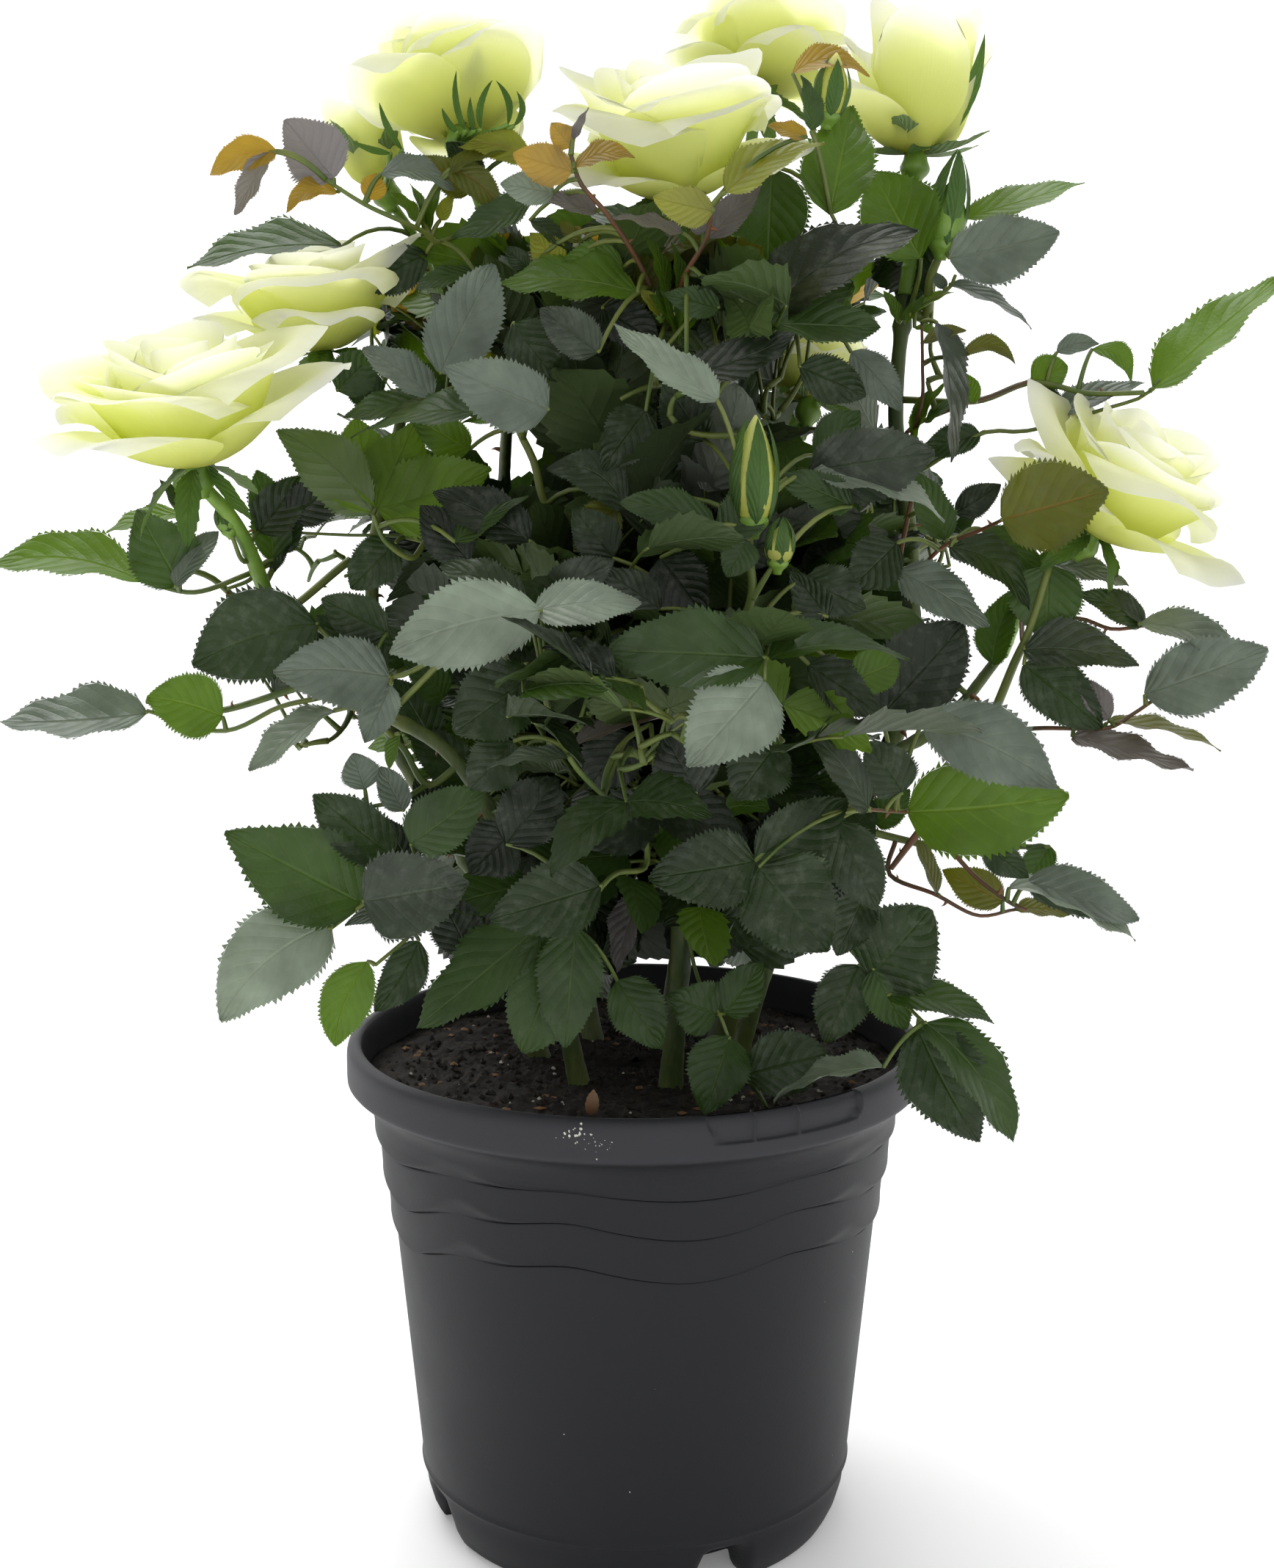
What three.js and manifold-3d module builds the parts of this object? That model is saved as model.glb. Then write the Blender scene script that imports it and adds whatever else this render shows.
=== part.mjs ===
// A rose bush in its nursery pot: pot, compost, canes, flower stems, side twigs, leaf masses and blooms.
// Millimetres, +Z up. The origin is the middle of the pot's flat underside, and -Y is the front.
import * as THREE from 'three';
import { mergeVertices } from 'three/addons/utils/BufferGeometryUtils.js';
import Module from 'manifold-3d';

const wasm = await Module();
wasm.setup();

// ---- driving dimensions ----
const POT_HEIGHT = 190;
const RIM_RADIUS = 110.4; // outer edge of the rolled rim
const RIM_MOUTH = 104.8; // opening inside the rim
const UNDER_RIM = 166; // where the rim springs from the wall
const SHOULDER_RADIUS = 100.3; // outer wall radius above the three wave steps
const SHOULDER_HEIGHT = 158;
const WAVE_RADIUS = 93.9; // outer wall radius under the three wave steps
const WAVE_HEIGHT = 122;
const WALL_FOOT = 83.4; // outer wall radius at the bead above the foot
const BEAD_HEIGHT = 22; // bead line above the ground
const FOOT_RADIUS = 77; // outer radius where the foot ring stands
const WALL = 2.2;
const FLOOR = 3.5;
const DRAIN_RISE = 7; // how far the drained part of the floor is lifted
const CENTRE_PAD = 28; // radius of the flat pad under the middle
const FOOT_INNER = 67; // inner radius of the foot ring
const FOOT_ARCHES = 4; // drain arches cut through the foot ring
const ARCH_FIRST = -66; // heading of the first arch, degrees from +X
const ARCH_WIDTH = 23;
const ARCH_HEIGHT = 15;
const DRAIN_HOLES = 6;
const DRAIN_RADIUS = 4.5;
const DRAIN_RING = 48;
const POT_SEGMENTS = 21;

const SOIL_TOP = 177;
const SOIL_ROUGHNESS = 1.6; // how far the surface rises and falls outside the canes
const SOIL_FLAT = 55; // radius of the level part round the canes
const GAP = 0.35; // clearance between pieces that touch

const LIMB_SIDES = 5;
const CANE_STEPS = 5;
const STEM_STEPS = 3;
const CANE_TAPER = 0.68; // tip radius over base radius
const STEM_TAPER = 0.75;
const BLOOM_SIDES = 8;

// Canes: where each leaves the compost, where it passes, and where it ends in the leaves.
const CANES = [
  { name: 'cane_front', foot: [13, -30], bend: [17, -40, 245], tip: [14, -48, 318], base: 4.2 },
  { name: 'cane_front_left', foot: [-20, -24], bend: [-34, -34, 238], tip: [-62, -44, 300], base: 3.8 },
  { name: 'cane_front_right', foot: [36, -14], bend: [54, -30, 238], tip: [84, -42, 296], base: 3.6 },
  { name: 'cane_left', foot: [-36, 8], bend: [-56, 6, 240], tip: [-92, 2, 306], base: 4.0 },
  { name: 'cane_right', foot: [30, 20], bend: [56, 16, 236], tip: [98, 6, 302], base: 4.0 },
  { name: 'cane_back_left', foot: [-16, 32], bend: [-28, 52, 240], tip: [-46, 86, 312], base: 3.8 },
  { name: 'cane_back', foot: [12, 38], bend: [22, 58, 240], tip: [30, 92, 312], base: 3.6 },
];

// Blooms: middle, the way each faces, half width and height.
const BLOOMS = [
  { name: 'bloom_top_left', at: [-60, -14, 541], face: [-0.12, 0.42, 0.9], radius: 31, height: 44 },
  { name: 'bloom_half_open_left', at: [-97, 8, 524], face: [-0.3, 0.1, 0.95], radius: 19, height: 36 },
  { name: 'bloom_centre', at: [16, -42, 523], face: [-0.05, -0.3, 0.95], radius: 39, height: 52 },
  { name: 'bloom_top_back', at: [48, 42, 562], face: [0.1, 0.3, 0.95], radius: 33, height: 40 },
  { name: 'bloom_top_right', at: [103, 2, 544], face: [0.05, 0.05, 1], radius: 27, height: 56 },
  { name: 'bloom_left_upper', at: [-117, -20, 467], face: [-0.08, -0.12, 1], radius: 38, height: 40 },
  { name: 'bloom_left_large', at: [-145, -86, 432], face: [-0.1, -0.22, 1], radius: 43, height: 50 },
  { name: 'bloom_right', at: [166, -55, 406], face: [0.6, -0.35, 0.72], radius: 39, height: 48 },
  { name: 'bloom_inner_back', at: [70, 58, 446], face: [0.1, 0.35, 0.93], radius: 24, height: 34 },
];

// Flower stems and side twigs: start inside the leaves, a bend, and the end under its bloom or in its spray.
const STEMS = [
  { name: 'stem_top_left', from: [-44, -4, 452], bend: [-52, -14, 490], bloom: 'bloom_top_left', base: 3.2 },
  { name: 'stem_half_open_left', from: [-70, 18, 460], bend: [-80, 20, 486], bloom: 'bloom_half_open_left', base: 2.6 },
  { name: 'stem_centre', from: [8, -20, 448], bend: [13, -30, 476], bloom: 'bloom_centre', base: 3.4 },
  { name: 'stem_top_back', from: [36, 40, 470], bend: [42, 38, 512], bloom: 'bloom_top_back', base: 3.0 },
  { name: 'stem_top_right', from: [97, 6, 424], bend: [102, 3, 470], bloom: 'bloom_top_right', base: 3.6 },
  { name: 'stem_left_upper', from: [-86, 0, 424], bend: [-108, -8, 438], bloom: 'bloom_left_upper', base: 2.8 },
  { name: 'stem_left_large', from: [-126, -28, 340], bend: [-134, -62, 382], bloom: 'bloom_left_large', base: 3.2 },
  { name: 'stem_right', from: [134, -20, 338], bend: [143, -42, 372], bloom: 'bloom_right', base: 2.8 },
  { name: 'stem_inner_back', from: [56, 40, 400], bend: [64, 50, 418], bloom: 'bloom_inner_back', base: 2.6 },
  { name: 'twig_left_upper', from: [-132, -26, 352], bend: [-150, -46, 368], to: [-170, -56, 373], base: 1.6 },
  { name: 'twig_left_lower', from: [-150, -26, 318], bend: [-160, -40, 323], to: [-172, -50, 324], base: 1.6 },
  { name: 'twig_right_upper', from: [128, -6, 444], bend: [160, -30, 438], to: [186, -46, 448], base: 1.6 },
  { name: 'twig_right_lower', from: [112, -30, 268], bend: [134, -28, 268], to: [152, -30, 268], base: 1.6 },
];

// Leaf masses: middle, half sizes, dip towards +X in degrees, and how finely the solid is divided.
const MASSES = [
  { name: 'leaves_core_low', at: [5, -2, 262], half: [72, 72, 46], detail: 1 },
  { name: 'leaves_core_middle', at: [0, 5, 350], half: [90, 84, 48], detail: 1 },
  { name: 'leaves_core_high', at: [5, 8, 438], half: [84, 70, 42], detail: 1 },
  { name: 'leaves_middle_left', at: [-128, -8, 326], half: [64, 60, 38], detail: 2 },
  { name: 'leaves_middle_right', at: [134, -6, 324], half: [64, 60, 44], detail: 2 },
  { name: 'leaves_middle_front', at: [0, -116, 332], half: [90, 50, 58], detail: 2 },
  { name: 'leaves_middle_back', at: [-2, 122, 338], half: [88, 58, 60], detail: 2 },
  { name: 'leaves_low_left', at: [-100, -56, 247], half: [52, 46, 36], detail: 2 },
  { name: 'leaves_low_right', at: [98, -52, 252], half: [56, 48, 38], detail: 1 },
  { name: 'leaves_low_front', at: [-4, -84, 222], half: [78, 32, 34], detail: 2 },
  { name: 'leaves_low_back', at: [0, 92, 238], half: [84, 48, 42], detail: 1 },
  { name: 'leaves_high_left', at: [-82, 8, 450], half: [56, 54, 40], detail: 1 },
  { name: 'leaves_high_right', at: [116, 6, 440], half: [56, 54, 44], detail: 2 },
  { name: 'leaves_high_front', at: [25, -78, 446], half: [68, 42, 44], detail: 2 },
  { name: 'leaves_high_back', at: [14, 78, 455], half: [84, 52, 50], detail: 1 },
  { name: 'leaves_young_front', at: [6, -62, 496], half: [62, 28, 17], detail: 1 },
  { name: 'leaves_young_left', at: [-128, 4, 500], half: [36, 26, 16], dip: 8, detail: 1 },
  { name: 'leaves_upper_right', at: [140, -4, 482], half: [30, 24, 19], detail: 1 },
  { name: 'spray_left_upper', at: [-190, -56, 377], half: [32, 20, 13], detail: 1 },
  { name: 'spray_left_lower', at: [-188, -50, 324], half: [34, 22, 15], detail: 1 },
  { name: 'spray_right_upper', at: [194, -48, 456], half: [30, 18, 20], dip: -38, detail: 1 },
  { name: 'spray_right_middle', at: [198, -44, 338], half: [28, 26, 22], detail: 1 },
  { name: 'spray_right_lower', at: [164, -30, 266], half: [30, 26, 17], detail: 1 },
  { name: 'spray_rim_right', at: [112, -82, 204], half: [22, 20, 27], detail: 1 },
  { name: 'spray_back_left', at: [-124, 106, 372], half: [50, 46, 36], detail: 1 },
  { name: 'spray_back_right', at: [122, 108, 376], half: [52, 46, 38], detail: 1 },
];

// ---- colours ----
const PLASTIC = { color: 0x3c3d3f, roughness: 0.55, metalness: 0 };
const COMPOST = { color: 0x2a211b, roughness: 0.95, metalness: 0 };
const BARK = { color: 0x55682f, roughness: 0.7, metalness: 0 };
const LEAF = { color: 0x35502a, roughness: 0.6, metalness: 0 };
const YOUNG_LEAF = { color: 0x8a6a2a, roughness: 0.55, metalness: 0 };
const PETAL = { color: 0xe8edac, roughness: 0.6, metalness: 0 };

// ---- turning geometry into solids and back ----
function closedSolid(geometry) {
  const bare = geometry.clone();
  bare.deleteAttribute('uv');
  bare.deleteAttribute('normal');
  const welded = mergeVertices(bare, 1e-4);
  const triVerts = new Uint32Array(welded.index.array);
  const vertProperties = new Float32Array(welded.attributes.position.array);
  return new wasm.Manifold(new wasm.Mesh({ numProp: 3, vertProperties, triVerts }));
}

function largestPiece(solid) {
  const pieces = solid.decompose();
  return pieces.reduce((best, piece) => (piece.volume() > best.volume() ? piece : best));
}

function namedMesh(name, solid, look, place = [0, 0, 0]) {
  const surface = solid.getMesh();
  const geometry = new THREE.BufferGeometry();
  geometry.setAttribute('position', new THREE.BufferAttribute(surface.vertProperties, 3));
  geometry.setIndex(new THREE.BufferAttribute(surface.triVerts, 1));
  geometry.translate(-place[0], -place[1], -place[2]);
  geometry.computeVertexNormals();
  const mesh = new THREE.Mesh(geometry, new THREE.MeshStandardMaterial(look));
  mesh.name = name;
  mesh.position.set(...place);
  return mesh;
}

// A turned solid about +Z from [radius, height] pairs.
function turned(profile, segments) {
  const points = profile.map(([radius, height]) => new THREE.Vector2(radius, height));
  const geometry = new THREE.LatheGeometry(points, segments);
  geometry.rotateX(Math.PI / 2);
  return geometry;
}

// ---- the pot ----
const POT_OUTSIDE = [
  [FOOT_RADIUS, 0],
  [WALL_FOOT - 1, 14],
  [WALL_FOOT, BEAD_HEIGHT],
  [WAVE_RADIUS, WAVE_HEIGHT],
  [SHOULDER_RADIUS, SHOULDER_HEIGHT],
  [RIM_RADIUS - 8, UNDER_RIM],
  [RIM_RADIUS - 1.6, UNDER_RIM + 5.5],
  [RIM_RADIUS, UNDER_RIM + 11],
  [RIM_RADIUS, POT_HEIGHT - 6],
  [RIM_RADIUS - 1.4, POT_HEIGHT - 1.8],
  [RIM_RADIUS - 3.4, POT_HEIGHT],
];
const POT_INSIDE = [
  [RIM_MOUTH, POT_HEIGHT - 1],
  [RIM_MOUTH - 1.2, UNDER_RIM + 8],
  [SHOULDER_RADIUS - WALL, SHOULDER_HEIGHT + 4],
  [WAVE_RADIUS - WALL, WAVE_HEIGHT],
  [WALL_FOOT - WALL, BEAD_HEIGHT],
  [WALL_FOOT - WALL - 2.5, DRAIN_RISE + FLOOR],
  [CENTRE_PAD + 3, DRAIN_RISE + FLOOR],
  [CENTRE_PAD - 1.5, FLOOR],
];

// A block through the foot ring, from inside it to outside it, for one drain arch.
function drainArch(heading) {
  const depth = FOOT_RADIUS - FOOT_INNER + 16;
  const block = new THREE.BoxGeometry(depth, ARCH_WIDTH, 2 * ARCH_HEIGHT);
  block.translate((FOOT_INNER + FOOT_RADIUS) / 2, 0, 0);
  block.rotateZ(heading);
  return closedSolid(block);
}

function drainHole(heading) {
  const hole = new THREE.CylinderGeometry(DRAIN_RADIUS, DRAIN_RADIUS, 20, 8);
  hole.rotateX(Math.PI / 2);
  hole.translate(DRAIN_RING * Math.cos(heading), DRAIN_RING * Math.sin(heading), DRAIN_RISE);
  return closedSolid(hole);
}

function pot() {
  const underside = [
    [0, 0],
    [CENTRE_PAD, 0],
    [CENTRE_PAD + 5, DRAIN_RISE],
    [FOOT_INNER - 2, DRAIN_RISE],
    [FOOT_INNER, 0],
  ];
  let body = closedSolid(turned([...underside, ...POT_OUTSIDE, ...POT_INSIDE, [0, FLOOR]], POT_SEGMENTS));
  for (let i = 0; i < FOOT_ARCHES; i += 1) {
    const heading = THREE.MathUtils.degToRad(ARCH_FIRST + (360 / FOOT_ARCHES) * i);
    body = body.subtract(drainArch(heading));
  }
  for (let i = 0; i < DRAIN_HOLES; i += 1) {
    body = body.subtract(drainHole(((i + 0.5) / DRAIN_HOLES) * 2 * Math.PI));
  }
  return body;
}

// The space that pot and compost take up, for cutting everything above them.
function potKeepOut() {
  const outside = POT_OUTSIDE.slice(2).map(([radius, height]) => [radius + GAP, height + GAP]);
  const mouth = [
    [RIM_MOUTH - GAP, POT_HEIGHT + GAP],
    [RIM_MOUTH - GAP, SOIL_TOP + SOIL_ROUGHNESS + GAP],
    [SOIL_FLAT, SOIL_TOP + GAP],
  ];
  return closedSolid(turned([[0, BEAD_HEIGHT], ...outside, ...mouth, [0, SOIL_TOP + GAP]], POT_SEGMENTS));
}

// ---- the compost: a plug that fills the pot, level round the canes and rough towards the wall ----
function compost() {
  const side = POT_INSIDE.slice(2).map(([radius, height]) => [radius - GAP, height + GAP]);
  const top = [
    [0, SOIL_TOP],
    [SOIL_FLAT, SOIL_TOP],
    [SOIL_FLAT + 26, SOIL_TOP],
    [RIM_MOUTH - 1.6 - GAP, SOIL_TOP],
  ];
  const bottom = [...side].reverse();
  const geometry = turned([[0, FLOOR + GAP], ...bottom, ...top.reverse()], POT_SEGMENTS);
  const spots = geometry.attributes.position;
  for (let i = 0; i < spots.count; i += 1) {
    const radius = Math.hypot(spots.getX(i), spots.getY(i));
    if (spots.getZ(i) > SOIL_TOP - 1 && radius > SOIL_FLAT + 1) {
      const heading = Math.atan2(spots.getY(i), spots.getX(i));
      const roughness = Math.sin(5 * heading + radius) * Math.cos(3 * heading - radius / 7);
      spots.setZ(i, SOIL_TOP + SOIL_ROUGHNESS * roughness);
    }
  }
  return closedSolid(geometry);
}

// ---- limbs: a tapered round bar bent along a smooth curve, thicker and longer by grow all round ----
function limb(points, baseRadius, tipRadius, steps, grow) {
  const path = new THREE.CatmullRomCurve3(points.map((p) => new THREE.Vector3(...p)));
  const run = path.getPoint(1).sub(path.getPoint(0));
  const aside = Math.abs(run.x) > Math.abs(run.y) ? new THREE.Vector3(0, 1, 0) : new THREE.Vector3(1, 0, 0);
  const bar = new THREE.CylinderGeometry(1, 1, 1, LIMB_SIDES, steps);
  const spots = bar.attributes.position;
  for (let i = 0; i < spots.count; i += 1) {
    const share = THREE.MathUtils.clamp(spots.getY(i) + 0.5, 0, 1);
    const radius = THREE.MathUtils.lerp(baseRadius, tipRadius, share) + grow;
    const along = path.getTangentAt(share);
    const across = aside.clone().addScaledVector(along, -along.dot(aside)).normalize();
    const third = new THREE.Vector3().crossVectors(across, along);
    const spot = path.getPointAt(share);
    spot.addScaledVector(across, spots.getX(i) * radius);
    spot.addScaledVector(third, spots.getZ(i) * radius);
    if (share === 0 || share === 1) spot.addScaledVector(along, (2 * share - 1) * grow);
    spots.setXYZ(i, spot.x, spot.y, spot.z);
  }
  return closedSolid(bar);
}

// ---- blooms: a hip, a flare of petals and a low crown, turned to face the way it grows ----
function bloom({ at, face, radius, height }, grow) {
  const hip = Math.min(7, radius * 0.22);
  const profile = [
    [0, -0.5 * height],
    [hip, -0.47 * height],
    [hip * 1.2, -0.33 * height],
    [radius * 0.66, -0.26 * height],
    [radius * 0.94, -0.02 * height],
    [radius, 0.16 * height],
    [radius * 0.82, 0.38 * height],
    [radius * 0.42, 0.5 * height],
    [0, 0.47 * height],
  ];
  const geometry = turned(profile, BLOOM_SIDES);
  const share = 1 + grow / hip;
  geometry.scale(share, share, 1 + (2 * grow) / height);
  const up = new THREE.Vector3(0, 0, 1);
  geometry.applyQuaternion(new THREE.Quaternion().setFromUnitVectors(up, new THREE.Vector3(...face).normalize()));
  geometry.translate(...at);
  return closedSolid(geometry);
}

// The point just under a bloom, where its stem meets the hip.
function underBloom({ at, face, height }) {
  const axis = new THREE.Vector3(...face).normalize();
  return new THREE.Vector3(...at).addScaledVector(axis, -height / 2 - GAP).toArray();
}

// ---- leaf masses: a round body swelled and dented by three waves, so no two sides match ----
function leafMass({ at, half, dip = 0, detail }, grow) {
  const geometry = new THREE.IcosahedronGeometry(1, detail);
  const spots = geometry.attributes.position;
  const phase = at[0] * 0.031 + at[1] * 0.047 + at[2] * 0.053;
  for (let i = 0; i < spots.count; i += 1) {
    const [x, y, z] = [spots.getX(i), spots.getY(i), spots.getZ(i)];
    const broad = 0.07 * Math.sin(3.1 * x + 2.3 * z + phase);
    const middle = 0.05 * Math.sin(5.3 * y - 4.1 * x + 2 * phase);
    const fine = 0.035 * Math.sin(8.7 * z + 6.9 * y + 3 * phase);
    const swell = 1 + broad + middle + fine + grow / Math.min(...half);
    spots.setXYZ(i, x * swell * half[0], y * swell * half[1], z * swell * half[2]);
  }
  geometry.rotateY(THREE.MathUtils.degToRad(dip));
  geometry.translate(...at);
  return closedSolid(geometry);
}

// ---- the whole plant: pieces are settled in order, and each is cut back from those before it ----
const settled = [potKeepOut()];

function settle(solid, grown) {
  const cut = settled.reduce((body, other) => body.subtract(other), solid);
  settled.push(grown);
  return largestPiece(cut);
}

const potted = new THREE.Group();
potted.add(namedMesh('pot', pot(), PLASTIC));
potted.add(namedMesh('compost', compost(), COMPOST));

const canes = new THREE.Group();
for (const { name, foot, bend, tip, base } of CANES) {
  const path = [[...foot, SOIL_TOP - 6], [...foot, SOIL_TOP + 8], bend, tip];
  const tipRadius = base * CANE_TAPER;
  const solid = limb(path, base, tipRadius, CANE_STEPS, 0);
  const grown = limb(path, base, tipRadius, CANE_STEPS, GAP);
  canes.add(namedMesh(name, settle(solid, grown), BARK, [...foot, SOIL_TOP]));
}

const blooms = new THREE.Group();
for (const row of BLOOMS) {
  blooms.add(namedMesh(row.name, settle(bloom(row, 0), bloom(row, GAP)), PETAL, row.at));
}

const stems = new THREE.Group();
for (const { name, from, bend, to, bloom: carried, base } of STEMS) {
  const end = to ?? underBloom(BLOOMS.find((row) => row.name === carried));
  const tipRadius = base * STEM_TAPER;
  const solid = limb([from, bend, end], base, tipRadius, STEM_STEPS, 0);
  const grown = limb([from, bend, end], base, tipRadius, STEM_STEPS, GAP);
  stems.add(namedMesh(name, settle(solid, grown), BARK, from));
}

const masses = new THREE.Group();
for (const row of MASSES) {
  const look = row.name.includes('young') ? YOUNG_LEAF : LEAF;
  masses.add(namedMesh(row.name, settle(leafMass(row, 0), leafMass(row, GAP)), look, row.at));
}

const roseBush = new THREE.Group();
roseBush.add(potted, canes, stems, blooms, masses);

export default roseBush;
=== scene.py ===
import math

import bpy
import numpy as np
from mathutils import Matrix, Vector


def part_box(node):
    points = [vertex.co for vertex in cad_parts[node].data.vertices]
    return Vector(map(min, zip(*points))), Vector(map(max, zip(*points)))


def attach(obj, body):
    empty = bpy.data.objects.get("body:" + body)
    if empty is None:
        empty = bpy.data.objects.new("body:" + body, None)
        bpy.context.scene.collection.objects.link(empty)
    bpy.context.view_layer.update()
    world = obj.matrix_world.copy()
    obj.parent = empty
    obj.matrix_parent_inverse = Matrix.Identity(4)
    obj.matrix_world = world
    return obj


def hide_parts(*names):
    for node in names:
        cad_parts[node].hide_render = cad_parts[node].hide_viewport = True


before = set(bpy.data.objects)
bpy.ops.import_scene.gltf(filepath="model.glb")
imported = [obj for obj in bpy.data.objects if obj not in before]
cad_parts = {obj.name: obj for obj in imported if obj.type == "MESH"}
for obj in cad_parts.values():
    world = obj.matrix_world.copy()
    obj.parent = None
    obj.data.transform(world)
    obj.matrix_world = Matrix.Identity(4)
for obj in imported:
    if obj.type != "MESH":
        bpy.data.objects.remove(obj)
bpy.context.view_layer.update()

# Everything below is worked out in millimetres and turned into metres when a mesh is made.
MM = 0.001
rng = np.random.default_rng(20417)

# ---- the camera: eye height and pitch, and the way from a spot in its view to a spot on the plant ----
EYE = np.array([0.8, -766.0, 408.0])
PITCH = math.radians(9.0)
FOCAL = 2786.0  # in the same units as the 1736 x 2136 view
VIEW_WIDTH = 1736.0
VIEW_HEIGHT = 2136.0
SENSOR = 36.0  # height of the camera's sensor, in millimetres
FORWARD = np.array([0.0, math.cos(PITCH), -math.sin(PITCH)])
UPWARD = np.array([0.0, math.sin(PITCH), math.cos(PITCH)])
RIGHTWARD = np.array([1.0, 0.0, 0.0])

view = bpy.data.cameras.new("view")
camera = bpy.data.objects.new("view", view)
bpy.context.scene.collection.objects.link(camera)
camera.location = EYE * MM
camera.rotation_euler = (math.radians(90) - PITCH, 0, 0)
view.sensor_fit = "VERTICAL"
view.sensor_height = SENSOR
view.lens = FOCAL / VIEW_HEIGHT * SENSOR
view.clip_end = 20  # metres, past the backdrop
bpy.context.scene.camera = camera
bpy.context.scene.view_settings.view_transform = "Standard"


def spot(across, down, depth):
    """The point of the plane y = depth that the camera sees at (across, down) of its view."""
    across, down, depth = np.broadcast_arrays(across, down, depth)
    u = (across - VIEW_WIDTH / 2) / FOCAL
    v = (down - VIEW_HEIGHT / 2) / FOCAL
    reach = (depth - EYE[1]) / (FORWARD[1] - v * UPWARD[1])
    ray = FORWARD + u[..., None] * RIGHTWARD - v[..., None] * UPWARD
    return EYE + reach[..., None] * ray


def seen_at(points):
    """Where the camera sees each point: (across, down) in its view."""
    away = points - EYE
    reach = away @ FORWARD
    across = VIEW_WIDTH / 2 + FOCAL * (away @ RIGHTWARD) / reach
    down = VIEW_HEIGHT / 2 - FOCAL * (away @ UPWARD) / reach
    return np.stack([across, down], -1)


def unit(rows):
    """Each row divided by its length."""
    return rows / np.maximum(np.linalg.norm(rows, axis=-1, keepdims=True), 1e-9)


def ease(share):
    """Smooth step: 3 s^2 - 2 s^3 of the share held between 0 and 1."""
    share = np.clip(share, 0, 1)
    return share * share * (3 - 2 * share)


def square_off(rows, along):
    """The part of each row at right angles to along, made one long."""
    return unit(rows - (rows * along).sum(-1, keepdims=True) * along)


def square_pair(face):
    """Two directions at right angles to face and to each other."""
    helper = np.array([1.0, 0, 0]) if abs(face[0]) < 0.7 else np.array([0, 1.0, 0])
    east = unit(helper - (helper @ face) * face)
    return east, np.cross(face, east)


def around(turn, east, north):
    """The direction at each turn, in radians, from east towards north."""
    return np.cos(turn)[..., None] * east + np.sin(turn)[..., None] * north


# ---- meshes: points and faces are gathered in a pile, and a pile becomes one piece ----
class Pile:
    """Points, faces and surface coordinates of many small shapes that make one piece."""

    def __init__(self):
        self.points = []
        self.faces = {3: [], 4: []}
        self.surface = []
        self.count = 0

    def add(self, points, surface, faces):
        """Adds n alike shapes: points (n, p, 3), surface (p, 2) or (n, p, 2), faces (f, 3 or 4) each."""
        shapes, size = points.shape[:2]
        first = self.count + np.arange(shapes)[:, None, None] * size
        self.points.append(points.reshape(-1, 3))
        self.surface.append(np.broadcast_to(surface, (shapes, size, 2)).reshape(-1, 2))
        for block in faces:
            self.faces[block.shape[1]].append((first + block[None]).reshape(-1, block.shape[1]))
        self.count += shapes * size

    def piece(self, name, material, slot, nodes=(), smooth=True):
        """Makes the pile one mesh that rides on the root and stands for the named nodes."""
        points = np.concatenate(self.points) * MM
        surface = np.concatenate(self.surface)
        blocks = [np.concatenate(self.faces[k]) for k in (3, 4) if self.faces[k]]
        corners = np.concatenate([block.ravel() for block in blocks])
        sizes = np.concatenate([np.full(len(block), block.shape[1]) for block in blocks])
        mesh = bpy.data.meshes.new(name)
        mesh.vertices.add(len(points))
        mesh.vertices.foreach_set("co", points.astype(np.float32).ravel())
        mesh.loops.add(len(corners))
        mesh.loops.foreach_set("vertex_index", corners.astype(np.int32))
        mesh.polygons.add(len(sizes))
        starts = np.concatenate([[0], np.cumsum(sizes)[:-1]])
        mesh.polygons.foreach_set("loop_start", starts.astype(np.int32))
        mesh.polygons.foreach_set("use_smooth", np.full(len(sizes), smooth))
        layer = mesh.uv_layers.new(name="surface")
        layer.data.foreach_set("uv", surface[corners].astype(np.float32).ravel())
        mesh.update(calc_edges=True)
        mesh.materials.append(material)
        obj = bpy.data.objects.new(name, mesh)
        bpy.context.scene.collection.objects.link(obj)
        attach(obj, "root")
        if nodes:
            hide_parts(*nodes)


def grid_faces(rows, columns, ring=False):
    """Four-sided faces of a grid of (rows + 1) lines; a ring joins its last column to its first."""
    width = columns if ring else columns + 1
    i, j = np.meshgrid(np.arange(rows), np.arange(columns), indexing="ij")
    i, j = i.ravel(), j.ravel()
    k = (j + 1) % width
    return np.stack([i * width + j, (i + 1) * width + j, (i + 1) * width + k, i * width + k], 1)


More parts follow.
